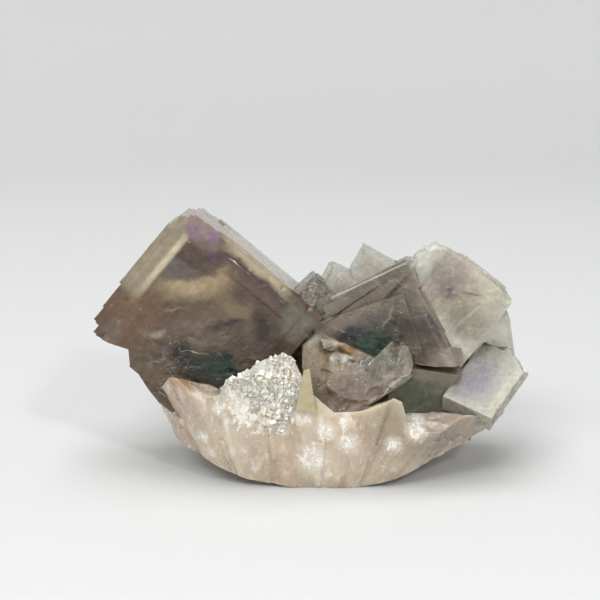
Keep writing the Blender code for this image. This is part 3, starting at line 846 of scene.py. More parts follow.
CLEAR_SMOKE = ((0.72, 0.68, 0.6, 1), 30)  # the colour that is left over depth, and how fast
right_looks = [
    fluorite(
        "smoky_right_fluorite",
        smoky,
        ((142, 132, 118), (116, 107, 96)),
        (
            Zone((136, 124, 108), (-8.6, 0, 2), (1.1, DEEP, 9), soft=0.3, square=0.7),
            Zone((84, 74, 68), (-0.2, 0, 7.2), (3.0, DEEP, 1.3), tilt=12, soft=0.5),
            Zone((92, 78, 68), (1.6, 0, 4.2), (4.6, DEEP, 2.6), soft=0.6),
            Zone((84, 80, 74), (-4.2, 0, -1.4), (3.0, DEEP, 5.6), soft=0.5),
            Zone((66, 58, 50), (-3.0, 0, 3.6), (2.2, DEEP, 2.6), soft=0.6),
            Zone((40, 56, 48), (-2.8, 0, -1.4), (2.6, DEEP, 3.6), soft=0.4),
            Zone((30, 66, 52), (-2.6, 0, -1.4), (1.6, DEEP, 2.0), soft=0.6, strength=0.8),
            Zone((36, 34, 46), (-5.5, 0, -3.2), (1.3, DEEP, 1.8), soft=0.5),
            Zone((176, 164, 146), (-1.2, 0, 8.0), (7.0, DEEP, 0.9), tilt=-4, soft=0.5, strength=0.8),
            Zone((74, 66, 60), (-0.9, 0, 6.9), (1.2, DEEP, 1.5), soft=0.6, strength=0.7),
            Zone(
                (206, 200, 188), (-11.2, 0, 2.6), (0.12, DEEP, 6.4), tilt=-2, soft=0.5, square=0.8, crisp=True
            ),
            Zone((66, 58, 52), (-9.3, 0, -0.8), (0.14, DEEP, 4.6), tilt=7, soft=0.5, square=0.8, crisp=True),
            Zone((78, 70, 64), (-8.3, 0, 5.2), (0.3, DEEP, 2.3), tilt=18, soft=0.6, square=0.4, crisp=True),
            Zone((158, 148, 134), (-5.6, 0, 2.8), (0.25, DEEP, 1.6), tilt=35, soft=0.7, strength=0.8),
            Zone((92, 82, 74), (-0.8, 0, 7.7), (3.2, DEEP, 0.5), soft=0.5, crisp=True),
            Zone((140, 128, 114), (3.6, 0, 4.8), (1.2, DEEP, 3.0), tilt=28, soft=0.6, strength=0.8),
            # a painted glint: a pale streak on the right end of the thin lip under the cube
            Zone((226, 218, 204), (5.2, 0, 6.8), (0.25, DEEP, 0.8), tilt=-50, soft=0.5, crisp=True),
        ),
        clearness=0.45,
    ),
    fluorite(
        "grey_saddle_fluorite",
        saddle,
        ((128, 121, 106), (104, 98, 86)),
        (Zone((88, 82, 76), (-2.4, 0, 3.0), (0.8, DEEP, 2.6), soft=0.4),),
        clearness=0.35,
        wisps=0.8,
        gloss=(0.12, 0.4),
        hackly=0.8,
        cracked=0.5,
    ),
    fluorite(
        "pale_back_fluorite",
        pale_back,
        ((206, 202, 190), (188, 184, 172)),
        (Zone((190, 180, 184), (-3, 0, -2), (4.0, DEEP, 3.0), soft=0.5, strength=0.7),),
        clearness=0.55,
        smoke=CLEAR_SMOKE,
        gloss=(0.08, 0.3),
        mottling=0.06,
    ),
    fluorite(
        "pale_upper_fluorite",
        upper,
        ((214, 210, 194), (192, 186, 168)),
        (
            Zone((146, 130, 122), (-3.0, 0, 3.4), (4.4, DEEP, 3.6), soft=0.6, strength=0.9),
            Zone((92, 74, 86), (-2.6, 0, 2.4), (1.4, DEEP, 1.0), soft=0.6),
            Zone((150, 142, 122), (1.6, 0, 0.6), (4.4, DEEP, 2.4), soft=0.6, strength=0.85),
            Zone((176, 168, 146), (1.5, 0, 4.0), (1.8, DEEP, 1.4), soft=0.7, strength=0.6),
            Zone((112, 102, 76), (0.3, 0, 4.2), (1.5, DEEP, 0.16), tilt=27, soft=0.5, crisp=True),
            Zone((206, 206, 198), (-9.0, 0, 3.0), (3.0, DEEP, 6.0), soft=0.4),
        ),
        clearness=0.45,
        wisps=0.6,
        smoke=CLEAR_SMOKE,
        gloss=(0.12, 0.4),
        mottling=0.12,
        hackly=0.35,
        cracked=0.5,
    ),
    fluorite(
        "pale_far_fluorite",
        far,
        ((234, 232, 220), (216, 213, 200)),
        (
            Zone((170, 160, 140), (-3.6, 0, -4.5), (2.0, DEEP, 1.6), soft=0.6, strength=0.8),
            Zone((150, 143, 126), (-4.9, 0, 0.4), (2.2, DEEP, 2.6), soft=0.6, strength=0.8),
            Zone((104, 98, 84), (-2.0, 0, -1.2), (1.3, DEEP, 1.5), tilt=-20, soft=0.4, square=0.6),
            Zone((128, 116, 92), (-1.2, 0, 2.4), (0.4, DEEP, 0.9), tilt=20, soft=0.4),
        ),
        clearness=0.55,
        smoke=CLEAR_SMOKE,
        gloss=(0.08, 0.3),
        mottling=0.06,
    ),
    fluorite(
        "lilac_plate_fluorite",
        plate,
        ((182, 179, 169), (168, 165, 156)),
        (
            Zone((190, 186, 170), (3.2, -1.4, 0), (0.8, 2, 6.0), soft=0.4, square=0.6),
            Zone((145, 139, 148), (-1.0, -1.4, -0.6), (2.2, 2, 3.4), soft=0.6),
        ),
        clearness=0.4,
        wisps=0.5,
        smoke=CLEAR_SMOKE,
        gloss=(0.15, 0.45),
    ),
    fluorite(
        "green_shadow_fluorite",
        green,
        ((150, 142, 124), (132, 126, 110)),
        (
            Zone((92, 98, 82), (-2.0, 0, 1.4), (3.2, DEEP, 3.2), tilt=30, soft=0.6),
            Zone((140, 128, 112), (-1.2, 0, 4.2), (6.0, DEEP, 0.9), soft=0.4),
            Zone((112, 108, 94), (2.0, 0, -1.5), (3.0, DEEP, 2.4), soft=0.5),
        ),
        clearness=0.5,
        wisps=0.35,
    ),
    fluorite(
        "broken_piece_fluorite",
        piece,
        ((166, 149, 128), (140, 126, 106)),
        (
            Zone((164, 146, 134), (2.6, 0, -1.0), (4.0, DEEP, 2.2), tilt=18, soft=0.6),
            Zone((122, 118, 106), (3.6, 0, 2.4), (4.0, DEEP, 2.2), tilt=20, soft=0.5),
            Zone((148, 116, 72), (-1.9, 0, 4.5), (3.2, DEEP, 0.8), tilt=26, soft=0.5),
            Zone((104, 90, 74), (-4.6, 0, 4.6), (0.8, DEEP, 1.2), soft=0.5),
            # a painted reflection: a whitish oval of light on the face of the piece
            Zone((226, 222, 210), (-2.4, 0, 3.3), (1.4, DEEP, 0.6), tilt=6, soft=0.3),
            Zone((150, 138, 120), (5.6, 0, 0.4), (2.2, DEEP, 0.7), tilt=-30, soft=0.6),
            Zone((150, 132, 120), (-0.4, 0, -1.4), (3.6, DEEP, 2.0), tilt=10, soft=0.6),
            Zone((168, 158, 146), (3.6, 0, 0.2), (2.6, DEEP, 0.5), tilt=24, soft=0.6),
            # a painted highlight along the lower right rim of the piece
            Zone((222, 212, 200), (5.0, 0, -0.7), (2.8, DEEP, 0.2), tilt=34, soft=0.6),
            Zone((186, 170, 156), (0.4, 0, -3.6), (3.2, DEEP, 0.5), tilt=24, soft=0.7),
            Zone((190, 182, 168), (-6.4, 0, 5.2), (1.0, DEEP, 0.7), tilt=30, soft=0.5),
        ),
        clearness=0.45,
        wisps=0.8,
        smoke=CLEAR_SMOKE,
        hackly=0.5,
        cracked=0.55,
    ),
]


def add_break(bm, crystal, fractions, depth, radius, rng):
    """A cutter for one hackly break: a coarse, uneven ball, sunk to a depth."""
    spot = crystal.spot(fractions)
    outward = (spot - crystal.centre).normalized()
    axis = Vector((rng.uniform(-1, 1), rng.uniform(-1, 1), rng.uniform(-1, 1)))
    turned = Matrix.Rotation(rng.uniform(0, math.tau), 4, axis)
    skin_distance = 0.9 * radius
    placed = Matrix.Translation(spot + outward * (skin_distance - depth)) @ turned
    made = bmesh.ops.create_icosphere(bm, subdivisions=2, radius=radius, matrix=placed)
    for vert in made["verts"]:
        vert.co += (vert.co - spot) * rng.uniform(-0.1, 0.1)
        for face in vert.link_faces:
            face.material_index = crystal.skin


rng = random.Random(47)
solid = bmesh.new()
cutter = bmesh.new()
for crystal in RIGHT_CRYSTALS.values():
    add_block(solid, crystal)
add_hull(solid, CLEAVAGE_PIECE, PIECE)
for flake in PIECE_FLAKES:
    add_hull(solid, flake, PIECE)
add_hull(solid, BROWN_LIP, SMOKY)
for reach, low, high in SMOKY_LAYERS:  # growth layers that fall away towards the back
    corners = []
    for across, along in (
        (-reach, LAYER_FRONT),
        (LAYER_ROOT, LAYER_FRONT),
        (LAYER_BACK_REACH, LAYER_BACK),
        (LAYER_ROOT, LAYER_BACK),
    ):
        corners += [smoky.point((across, along, low)), smoky.point((across, along, high))]
    add_hull(solid, corners, SMOKY)
add_hull(solid, FAR_FILLING, FAR)
ring_points = []
for back, share, lift in UPPER_RINGS:
    for across, up in UPPER_RIM:
        ring_points.append(UPPER_MIDDLE.lerp(Vector((across, 0, up)), share) + Vector((0, back, lift)))
add_hull(solid, ring_points, UPPER)
for number in range(STRIAE):
    add_box(solid, pale_saddle, (-3.2 + 0.62 * number, -4.48, 1.2 - 0.15 * number), STRIA_SIZE)
for _ in range(RUBBLE):
    spot = (rng.uniform(-1.5, 3.5), rng.uniform(-5.8, -4.0), rng.uniform(20.5, 27.0))
    size = [rng.uniform(1.4, 3.0) for _ in range(3)]
    lump = Crystal(spot, size, rng.uniform(-25, 25), rng.uniform(-25, 25), rng.uniform(0, 90), skin=SADDLE)
    add_block(solid, lump)
add_terraces(solid, smoky, TOP_RIGHT_FACE, 3, (0.10, 0.2), rng)
add_terraces(solid, smoky, TOP_LEFT_FACE, 4, (0.08, 0.2), rng)
add_terraces(solid, smoky, FRONT_FACE, 2, (0.03, 0.08), rng)
add_terraces(solid, smoky, BACK_FACE, 4, (0.1, 0.3), rng)
add_terraces(solid, upper, TOP_RIGHT_FACE, 4, (0.1, 0.3), rng)
add_terraces(solid, upper, BACK_FACE, 4, (0.1, 0.3), rng)
add_terraces(solid, pale_saddle, TOP_LEFT_FACE, 3, (0.12, 0.24), rng)
add_terraces(solid, pale_back, TOP_LEFT_FACE, 2, (0.08, 0.16), rng)
add_terraces(solid, saddle, TOP_RIGHT_FACE, 3, (0.14, 0.3), rng)
add_edge_plates(solid, saddle, TOP_RIGHT_FACE, 4, (0.3, 0.7), rng)
add_edge_plates(solid, pale_back, TOP_LEFT_FACE, 3, (0.1, 0.3), rng)
for across in (-0.9, -0.5, -0.1, 0.3, 0.7, 1.0):  # the worn outline of the pale upper right
    add_break(cutter, upper, (across, rng.uniform(-0.9, 0.2), 1.1), rng.uniform(0.2, 0.5), 4.0, rng)
add_cleavage_cut(cutter, upper, (1, 1, 1), 1.3, 5.0)
add_cleavage_cut(cutter, far, (1, 1, 1), 1.2, 4.0)
add_cleavage_cut(cutter, plate, (1, -1, 1), 1.5, 4.0)
for across in (-0.6, 0.1, 0.7):
    add_cleavage_cut(cutter, plate, (1, 0, across), rng.uniform(0.2, 0.5), rng.uniform(1.5, 3.0), rng)
    add_cleavage_cut(cutter, plate, (across, 0, 1), rng.uniform(0.2, 0.5), rng.uniform(1.5, 3.0), rng)
just_under = -0.98  # the plate's front face is at -1
plate_front = [plate.spot((across, just_under, up)) for across, up in ((-1, -1), (-1, 1), (1, -1), (1, 1))]
outwards = Vector((0, -15, 3.2))  # nothing stands in front of the plate
add_hull(cutter, plate_front + [corner + outwards for corner in plate_front], PLATE)
for fractions, depth, radius in PIECE_CUTS:
    add_cleavage_cut(cutter, piece, fractions, depth, radius, rng)
for _ in range(PIECE_BREAKS):
    across, up = rng.uniform(-0.8, 0.7), rng.uniform(-0.7, 0.7)
    if across - up < 0.8:
        add_break(cutter, piece, (across, -1, up), rng.uniform(0.1, 0.5), rng.uniform(1.2, 3.4), rng)
add_block(cutter, LEFT_CUBE, 0.03)
right_cluster = fused("right_fluorite_cluster", solid, cutter, right_looks)
roughen(right_cluster.data, 0.9, 0.06, 2.0)
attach(right_cluster, "root")
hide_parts("right_fluorite_crystals")

# ------------------------------------------------------------------------------------------------
# The matrix: milky comb quartz, thousands of thin columns grown side by side into one waxy ribbed wall.
# It fans out from the flat where it was cut off the vein, and the fluorite sits in its upper side.
# Here and there a column end or a broken patch catches the light, shown by a painted highlight and a few
# white grains.

BASE_HALF_WIDTH = 15.0
BASE_HALF_DEPTH = 12.0
WALL_FOOT = -1.5  # below the flat, which is cut afterwards
UNDERSIDE = ((0, 0), (-2.0, 10), (-6.0, 22), (6.5, -12), (9.5, -26))  # where each cut starts, and its slope
RIM_REACH = {"left": 7.9, "right": 13.2, "front": 3.3}  # how far the wall flares out by its top
WALL_SIDES = 168
WALL_LEVELS = 9
ROOF_SHARES = (0.82, 0.6, 0.3)  # the rings of the roof, from the rim in to the summit
SUMMIT = 9.5
TOP_OUTLINE = (  # across and up, along the top of the front wall
    (-27, 11.6),
    (-22.8, 12.2),
    (-21.4, 13.6),
    (-20.2, 15.4),
    (-18.6, 15.8),
    (-17.2, 14.6),
    (-16.2, 13.8),
    (-12.6, 13.8),
    (-11.6, 16.6),
    (-9.6, 16.6),
    (-7.4, 18.8),
    (-4.5, 20.0),
    (-0.9, 19.5),
    (0.1, 14.0),
    (1.0, 11.5),
    (7.0, 12.0),
    (11.5, 13.6),
    (12.8, 13.0),
    (13.6, 9.6),
    (16.0, 8.6),
    (18.0, 8.6),
    (20.0, 9.8),
    (22.0, 10.6),
    (27.0, 9.0),
)
COLUMNS = 110
COLUMN_RADIUS = (0.5, 2.0)


def prism_tree():
    """Geometry nodes that grow a tapering prism on every point, along its own way and at its own size."""
    tree = bpy.data.node_groups.new("grown_prisms", "GeometryNodeTree")
    sockets = (
        ("Points", "NodeSocketGeometry", None),
        ("Sides", "NodeSocketInt", 6),
        ("Tip", "NodeSocketFloat", 0.8),
        ("Seed", "NodeSocketInt", 3),
        ("Finish", "NodeSocketMaterial", None),
    )
    for label, kind, value in sockets:
        socket = tree.interface.new_socket(name=label, in_out="INPUT", socket_type=kind)
        if value is not None:
            socket.default_value = value
    tree.interface.new_socket(name="Prisms", in_out="OUTPUT", socket_type="NodeSocketGeometry")
    given = tree.nodes.new("NodeGroupInput").outputs
    points = add_node(tree, "GeometryNodeMeshToPoints", {"Mesh": given["Points"]}).outputs[0]
    unit = {"Vertices": given["Sides"], "Radius Top": given["Tip"], "Radius Bottom": 1.0, "Depth": 1.0}
    prism = add_node(tree, "GeometryNodeMeshCone", unit).outputs[0]
    reader = "GeometryNodeInputNamedAttribute"
    lie = add_node(tree, reader, {"Name": "lie"}, data_type="FLOAT_VECTOR").outputs[0]
    girth = add_node(tree, reader, {"Name": "girth"}, data_type="FLOAT_VECTOR").outputs[0]
    along = add_node(tree, "FunctionNodeAlignRotationToVector", {"Vector": lie}, axis="Z").outputs[0]
    picks = {"Min": 0.0, "Max": math.tau, "Seed": given["Seed"]}
    turn = add_node(tree, "FunctionNodeRandomValue", picks).outputs[1]
    roll = add_node(tree, "FunctionNodeAxisAngleToRotation", {"Axis": (0, 0, 1), "Angle": turn}).outputs[0]
    picks = {"Rotation": along, "Rotate By": roll}
    rotation = add_node(tree, "FunctionNodeRotateRotation", picks, rotation_space="LOCAL").outputs[0]
    picks = {"Points": points, "Instance": prism, "Rotation": rotation, "Scale": girth}
    placed = add_node(tree, "GeometryNodeInstanceOnPoints", picks).outputs[0]
    solid = add_node(tree, "GeometryNodeRealizeInstances", {0: placed}).outputs[0]
    picks = {"Geometry": solid, "Material": given["Finish"]}
    finished = add_node(tree, "GeometryNodeSetMaterial", picks).outputs[0]
    tree.links.new(finished, tree.nodes.new("NodeGroupOutput").inputs[0])
    return tree


PRISMS = prism_tree()


def sprout(name, seeds, material, sides=6, tip=0.8, seed=3):
    """Prisms grown on seeds, each a foot, a direction, a radius and a length in mm, as one plain mesh."""
    mesh = bpy.data.meshes.new(name)
    mesh.from_pydata([foot * MM for foot, _, _, _ in seeds], [], [])
    lie = mesh.attributes.new("lie", "FLOAT_VECTOR", "POINT")
    girth = mesh.attributes.new("girth", "FLOAT_VECTOR", "POINT")
    for number, (_, direction, radius, length) in enumerate(seeds):
        lie.data[number].vector = direction
        girth.data[number].vector = (radius * MM, radius * MM, length * MM)
    made = bpy.data.objects.new(name, mesh)
    bpy.context.scene.collection.objects.link(made)
    grown = made.modifiers.new("grown", "NODES")
    grown.node_group = PRISMS
    values = {"Sides": sides, "Tip": tip, "Seed": seed, "Finish": material}
    for socket in PRISMS.interface.items_tree:
        if socket.in_out == "INPUT" and socket.name in values:
            grown[socket.identifier] = values[socket.name]
    evaluated = made.evaluated_get(bpy.context.evaluated_depsgraph_get())
    made.data = bpy.data.meshes.new_from_object(evaluated)
    made.modifiers.clear()
    return made


def squared_off(part):
    """Pushes a point of the unit circle out towards the square around it."""
    return math.copysign(abs(part) ** 0.66, part)


def wall_top(across):
    """How high the wall reaches, at a distance across the front."""
    across = min(max(across, TOP_OUTLINE[0][0]), TOP_OUTLINE[-1][0])
    for (x0, z0), (x1, z1) in zip(TOP_OUTLINE, TOP_OUTLINE[1:]):
        if across <= x1:
            return z0 + (z1 - z0) * (across - x0) / (x1 - x0)


def wall_spot(angle, share, relief=0.0):
    """A point of the wall: the way round it, and how far up, from foot to rim."""
    across = squared_off(math.cos(angle))
    along = squared_off(math.sin(angle))
    flare = share**0.8
    width = BASE_HALF_WIDTH + RIM_REACH["right" if across > 0 else "left"] * flare + relief
    depth = BASE_HALF_DEPTH + RIM_REACH["front"] * flare + relief
    rim = BASE_HALF_WIDTH + RIM_REACH["right" if across > 0 else "left"]
    up = WALL_FOOT + share * (wall_top(across * rim) - WALL_FOOT)
    return Vector((across * width, along * depth, up))


def add_wall(bm, rng):
    """The body of the matrix: a bowl-sided plug whose wall is faceted into low upright ribs."""
    rings = []
    angles = [math.tau * number / WALL_SIDES for number in range(WALL_SIDES)]
    ribs = []
    while len(ribs) < WALL_SIDES:
        rib = (rng.uniform(-0.24, 0.2), rng.uniform(0.2, 1.0), rng.uniform(-0.3, 0.1))
        ribs += [rib] * rng.choice((1, 2, 2, 3, 5))
    for level in range(WALL_LEVELS + 1):
        share = level / WALL_LEVELS
        ring = []
        for angle, (relief, ledge, step) in zip(angles, ribs):
            ring.append(bm.verts.new(wall_spot(angle, share, relief + (step if share > ledge else 0.0))))
        rings.append(ring)
    for share in ROOF_SHARES:
        ring = []
        for vert in rings[WALL_LEVELS]:
            fall = 1.3 if vert.co.x < -15 else 3  # the left end falls away slowly
            height = SUMMIT + (vert.co.z - SUMMIT) * share**fall + rng.uniform(-0.4, 0.4)
            ring.append(bm.verts.new((vert.co.x * share, vert.co.y * share, height)))
        rings.append(ring)
    for lower, higher in zip(rings, rings[1:]):
        for number in range(WALL_SIDES):
            after = (number + 1) % WALL_SIDES
            bm.faces.new((lower[number], lower[after], higher[after], higher[number]))
    bm.faces.new(list(reversed(rings[0])))
    peak = bm.verts.new((0, 0, SUMMIT))
    for number in range(WALL_SIDES):
        bm.faces.new((rings[-1][number], rings[-1][(number + 1) % WALL_SIDES], peak))


def column_seeds(rng):
    """Columns sunk in the wall, so that only a low edge of each stands out, ending at all heights."""
    seeds = []
    proud = 0.25  # how far each stands out of the wall
    for number in range(COLUMNS):
        angle = math.tau * (number + rng.uniform(-0.4, 0.4)) / COLUMNS
        radius = rng.uniform(*COLUMN_RADIUS)
        low = rng.choice((0.0, 0.0, rng.uniform(0.1, 0.5)))
        high = rng.uniform(0.55, 0.97)
        foot = wall_spot(angle, low, proud - radius)
        run = wall_spot(angle, high, proud - radius) - foot
        seeds.append((foot, run.normalized(), radius, run.length))
    return seeds


QUARTZ_TINTS = (  # middle, half size, shade and strength of each tinted patch
    ((-18.6, -14.0, 16.2), (3.4, 9.0, 1.9), (146, 120, 80), 0.8),  # ochre stain
    ((-18.6, -14.0, 9.5), (1.5, 9.0, 6.0), (190, 154, 138), 0.5),  # pink band
    ((0.2, -14.0, 13.8), (1.6, 6.0, 3.2), (206, 200, 160), 0.8),  # cream band
    ((17.0, -14.0, 9.0), (7.0, 9.0, 5.0), (160, 147, 132), 0.9),
    ((10.0, -14.0, 12.0), (2.8, 9.0, 2.2), (184, 174, 148), 0.6),
    ((12.2, -14.0, 8.6), (3.0, 9.0, 3.4), (164, 148, 124), 0.8),
)
# patches of painted highlight on the wall, each with a few glossy white grains set on it
PAINTED_HIGHLIGHT_PATCHES = (  # across, up, how wide the patch is, how many grains it has
    (2.1, 8.9, 0.9, 8),
    (0.3, 4.6, 1.5, 16),
    (5.2, 7.2, 0.9, 8),
    (11.5, 6.7, 0.8, 7),
    (-0.8, 10.9, 0.7, 6),
    (4.8, 10.2, 0.6, 5),
    (14.6, 8.9, 1.0, 8),
    (-15.1, 7.2, 0.6, 5),
    (-13.0, 11.9, 0.6, 5),
    (-9.9, 12.5, 0.8, 7),
    (-3.9, 9.0, 0.6, 5),
)


def milky_quartz():
    """Milky quartz: pinkish beige with paler and greyer streaks that fan out along the columns, and painted
    highlight patches.
    """
    made = bpy.data.materials.new("milky_quartz")
    made.use_nodes = True
    tree = made.node_tree
    shader = tree.nodes["Principled BSDF"]
    coords = add_node(tree, "ShaderNodeTexCoord").outputs["Object"]
    picks = {"Vector": coords, "Scale": (MM, MM, MM)}
    place = add_node(tree, "ShaderNodeMapping", picks, vector_type="TEXTURE").outputs[0]
    parts = add_node(tree, "ShaderNodeSeparateXYZ", {0: place}).outputs
    root_depth = 34.0  # how far below the foot the columns fan out from
    fan = calc(tree, "DIVIDE", parts[0], calc(tree, "ADD", parts[2], root_depth))
    fan = calc(tree, "MULTIPLY", fan, 40.0)
    picks = {0: fan, 1: parts[1], 2: calc(tree, "MULTIPLY", parts[2], 0.12)}
    streaky = add_node(tree, "ShaderNodeCombineXYZ", picks).outputs[0]
    streaks = span(tree, noise(tree, streaky, 0.42, 2.5, 0.6).outputs[0], 0.34, 0.66)
    clouds = span(tree, noise(tree, place, 0.14, 2.5, 0.55).outputs[0], 0.35, 0.65)
    colour = blended(tree, clouds, paint(198, 177, 154), paint(214, 201, 182))
    colour = blended(tree, calc(tree, "MULTIPLY", streaks, 0.55), colour, paint(170, 149, 125))
    cream = span(tree, noise(tree, place, 0.22, 3.0).outputs[0], 0.54, 0.68)
    colour = blended(tree, calc(tree, "MULTIPLY", cream, 0.3), colour, paint(208, 198, 166))
    picks = {"Place": streaky, "Tilt": 0.0, "Stretch": (1.0, 1.0, 5.0), "Scale": 0.55}
    facets = add_node(tree, "ShaderNodeGroup", picks, node_tree=FACETS)
    colour = shaded(tree, colour, span(tree, facets.outputs["Tone"], 0.0, 1.0, 0.94, 1.05))
    flecks = span(tree, noise(tree, place, 0.45, 3.0, 0.6, (1.4, 1, 0.7)).outputs[0], 0.56, 0.7)
    colour = blended(tree, calc(tree, "MULTIPLY", flecks, 0.8), colour, paint(238, 232, 222))
    for middle, half, shade, strength in QUARTZ_TINTS:
        picks = {"Centre": middle, "Half Size": half, "Strength": strength}
        picks.update({"Softness": 0.5, "Squareness": 0.3})
        colour = blended(tree, zone_mask(tree, place, picks), colour, paint(*shade))

    # the painted highlight: a soft pale colour laid over each patch
    bright = 0.0
    for across, up, reach, _ in PAINTED_HIGHLIGHT_PATCHES:
        picks = {"Centre": (across, -14.0, up), "Half Size": (1.3 * reach, 9.0, 1.4 * reach)}
        picks.update({"Softness": 0.8, "Squareness": 0.2, "Strength": 1.0})
        bright = calc(tree, "MAXIMUM", zone_mask(tree, place, picks), bright)
    colour = blended(tree, calc(tree, "MULTIPLY", bright, 0.75), colour, paint(236, 228, 216))
    # the crackle covers the druse ground and the painted highlight patches
    picks = {"Centre": (-6.6, -14.0, 14.0), "Half Size": (5.6, 9.0, 6.0)}
    picks.update({"Softness": 0.4, "Squareness": 0.4, "Strength": 1.0})
    broken = calc(tree, "MAXIMUM", zone_mask(tree, place, picks), bright)  # under the druse as well
    picks = {"Place": place, "Scale": 0.5, "Width": 0.03, "Cover": span(tree, broken, 0.0, 1.0, 0.12, 0.7)}
    cracks = add_node(tree, "ShaderNodeGroup", picks, node_tree=CRACKLE)
    flaws = calc(tree, "MAXIMUM", cracks.outputs["Lines"], cracks.outputs["Flaws"])
    colour = blended(tree, flaws, colour, paint(250, 247, 238))
    tree.links.new(colour, shader.inputs["Base Color"])

    grain = noise(tree, place, 0.8, 2.0, 0.6).outputs[0]
    tree.links.new(span(tree, grain, 0.3, 0.7, 0.12, 0.32), shader.inputs["Roughness"])
    ribs = noise(tree, streaky, 0.9, 2.5, 0.55).outputs[0]
    height = calc(tree, "ADD", calc(tree, "MULTIPLY", ribs, 0.6), calc(tree, "MULTIPLY", grain, 0.4))
    height = calc(tree, "ADD", height, calc(tree, "MULTIPLY", facets.outputs["Height"], 2.2))
    bump = add_node(tree, "ShaderNodeBump", {"Height": height, "Strength": 0.5, "Distance": 0.25 * MM})
    tree.links.new(bump.outputs[0], shader.inputs["Normal"])

    shader.inputs["IOR"].default_value = 1.544
    shader.inputs["Transmission Weight"].default_value = 0.25
    shader.inputs["Coat Weight"].default_value = 0.6
    shader.inputs["Coat Roughness"].default_value = 0.06
    shader.inputs["Subsurface Weight"].default_value = 0.8
    shader.inputs["Subsurface Radius"].default_value = (1.0, 0.8, 0.65)
    shader.inputs["Subsurface Scale"].default_value = 3.0 * MM
    return made


quartz_look = milky_quartz()
rng = random.Random(9)
columns = sprout("quartz_columns", column_seeds(rng), quartz_look, tip=0.92)
solid = bmesh.new()
solid.from_mesh(columns.data)
bmesh.ops.scale(solid, vec=(1 / MM, 1 / MM, 1 / MM), verts=solid.verts)
bpy.data.objects.remove(columns, do_unlink=True)
add_wall(solid, rng)
cutter = bmesh.new()
add_block(cutter, LEFT_CUBE, 0.02)
add_hull(cutter, left_foot)
for crystal in RIGHT_CRYSTALS.values():
    add_block(cutter, crystal, 0.02)
add_hull(cutter, CLEAVAGE_PIECE)
for start, slope in UNDERSIDE:  # each cut is a big block with its top along the slope
    placed = Matrix.Translation((start, 0, 0)) @ Matrix.Rotation(math.radians(slope), 4, "Y")
    placed = placed @ Matrix.Translation((0, 0, -20)) @ Matrix.Diagonal((120, 120, 40, 1))
    bmesh.ops.create_cube(cutter, size=1, matrix=placed)
for face in cutter.faces:
    face.material_index = 0
quartz = fused("milky_quartz_matrix", solid, cutter, [quartz_look])
roughen(quartz.data, 0.8, 0.08, 1.8)
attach(quartz, "root")
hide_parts("quartz_matrix")

# ------------------------------------------------------------------------------------------------
# The druse: small clear quartz crystals and broken grains where the comb quartz meets the large cube, one
# flat cream-coloured prism beside them, and a few bright grains on the wall. They grew on the matrix, every
# which way, and they give most of the sparkle.


def clear_grains(name, clearness, tones, cracked=0.7):
    """Small clear or white quartz, crackled inside and glossy, with a body of two tones."""
    made = bpy.data.materials.new(name)
    made.use_nodes = True
    tree = made.node_tree
    shader = tree.nodes["Principled BSDF"]
    coords = add_node(tree, "ShaderNodeTexCoord").outputs["Object"]
    picks = {"Vector": coords, "Scale": (MM, MM, MM)}
    place = add_node(tree, "ShaderNodeMapping", picks, vector_type="TEXTURE").outputs[0]
    tone = span(tree, noise(tree, place, 0.9, 4.0, 0.6).outputs[0], 0.35, 0.65)
    colour = blended(tree, tone, paint(*tones[0]), paint(*tones[1]))
    picks = {"Place": place, "Scale": 1.1, "Width": 0.05, "Cover": cracked}
    cracks = add_node(tree, "ShaderNodeGroup", picks, node_tree=CRACKLE)
    flaws = calc(tree, "MAXIMUM", cracks.outputs["Lines"], cracks.outputs["Flaws"])
    colour = blended(tree, flaws, colour, paint(246, 241, 228))
    tree.links.new(colour, shader.inputs["Base Color"])
    grain = noise(tree, place, 3.0, 3.0).outputs[0]
    tree.links.new(span(tree, grain, 0.3, 0.7, 0.03, 0.12), shader.inputs["Roughness"])
    bump = add_node(tree, "ShaderNodeBump", {"Height": grain, "Strength": 0.3, "Distance": 0.1 * MM})
    tree.links.new(bump.outputs[0], shader.inputs["Normal"])
    shader.inputs["IOR"].default_value = 1.544
    shader.inputs["Transmission Weight"].default_value = clearness
    shader.inputs["Subsurface Weight"].default_value = 0.9
    shader.inputs["Subsurface Radius"].default_value = (1.0, 0.95, 0.9)
    shader.inputs["Subsurface Scale"].default_value = 0.3 * MM
    shader.inputs["Coat Weight"].default_value = 1.0
    shader.inputs["Coat Roughness"].default_value = 0.02
    return made


def on_wall(wall, x, z):
    """The point of the front wall at a place across and up, and the way it faces."""
    well_in_front = -60
    spot, facing, _, _ = wall.ray_cast(Vector((x, well_in_front, z)) * MM, Vector((0, 1, 0)))
    return (spot / MM, facing) if spot else (None, None)


CREAM_PRISM = (  # a flat, tapering crystal, foot first
    (-2.1, -15.6, 12.0),
    (0.6, -15.9, 12.1),
    (0.9, -12.0, 12.0),
    (-2.2, -12.0, 11.8),
    (-1.0, -15.1, 17.7),
    (-0.2, -15.2, 18.0),
    (-0.1, -12.6, 18.0),
    (-1.1, -12.6, 17.6),
)
DRUSE_OUTLINE = (  # across and up, round the sparkling patch
    (-11.9, 15.5),
    (-10.8, 18.4),
    (-8.5, 17.7),
    (-6.0, 21.1),
    (-2.9, 20.1),
    (-1.4, 17.7),
    (-2.7, 12.0),
    (-3.8, 8.9),
    (-5.5, 9.6),
    (-6.9, 12.5),
    (-9.1, 14.4),
)
DRUSE_GRAINS = 520


def in_outline(x, z, outline):
    """Whether a spot lies inside a closed outline."""
    inside = False
    for (x0, z0), (x1, z1) in zip(outline, outline[1:] + outline[:1]):
        if (z0 > z) != (z1 > z) and x < x0 + (x1 - x0) * (z - z0) / (z1 - z0):
            inside = not inside
    return inside


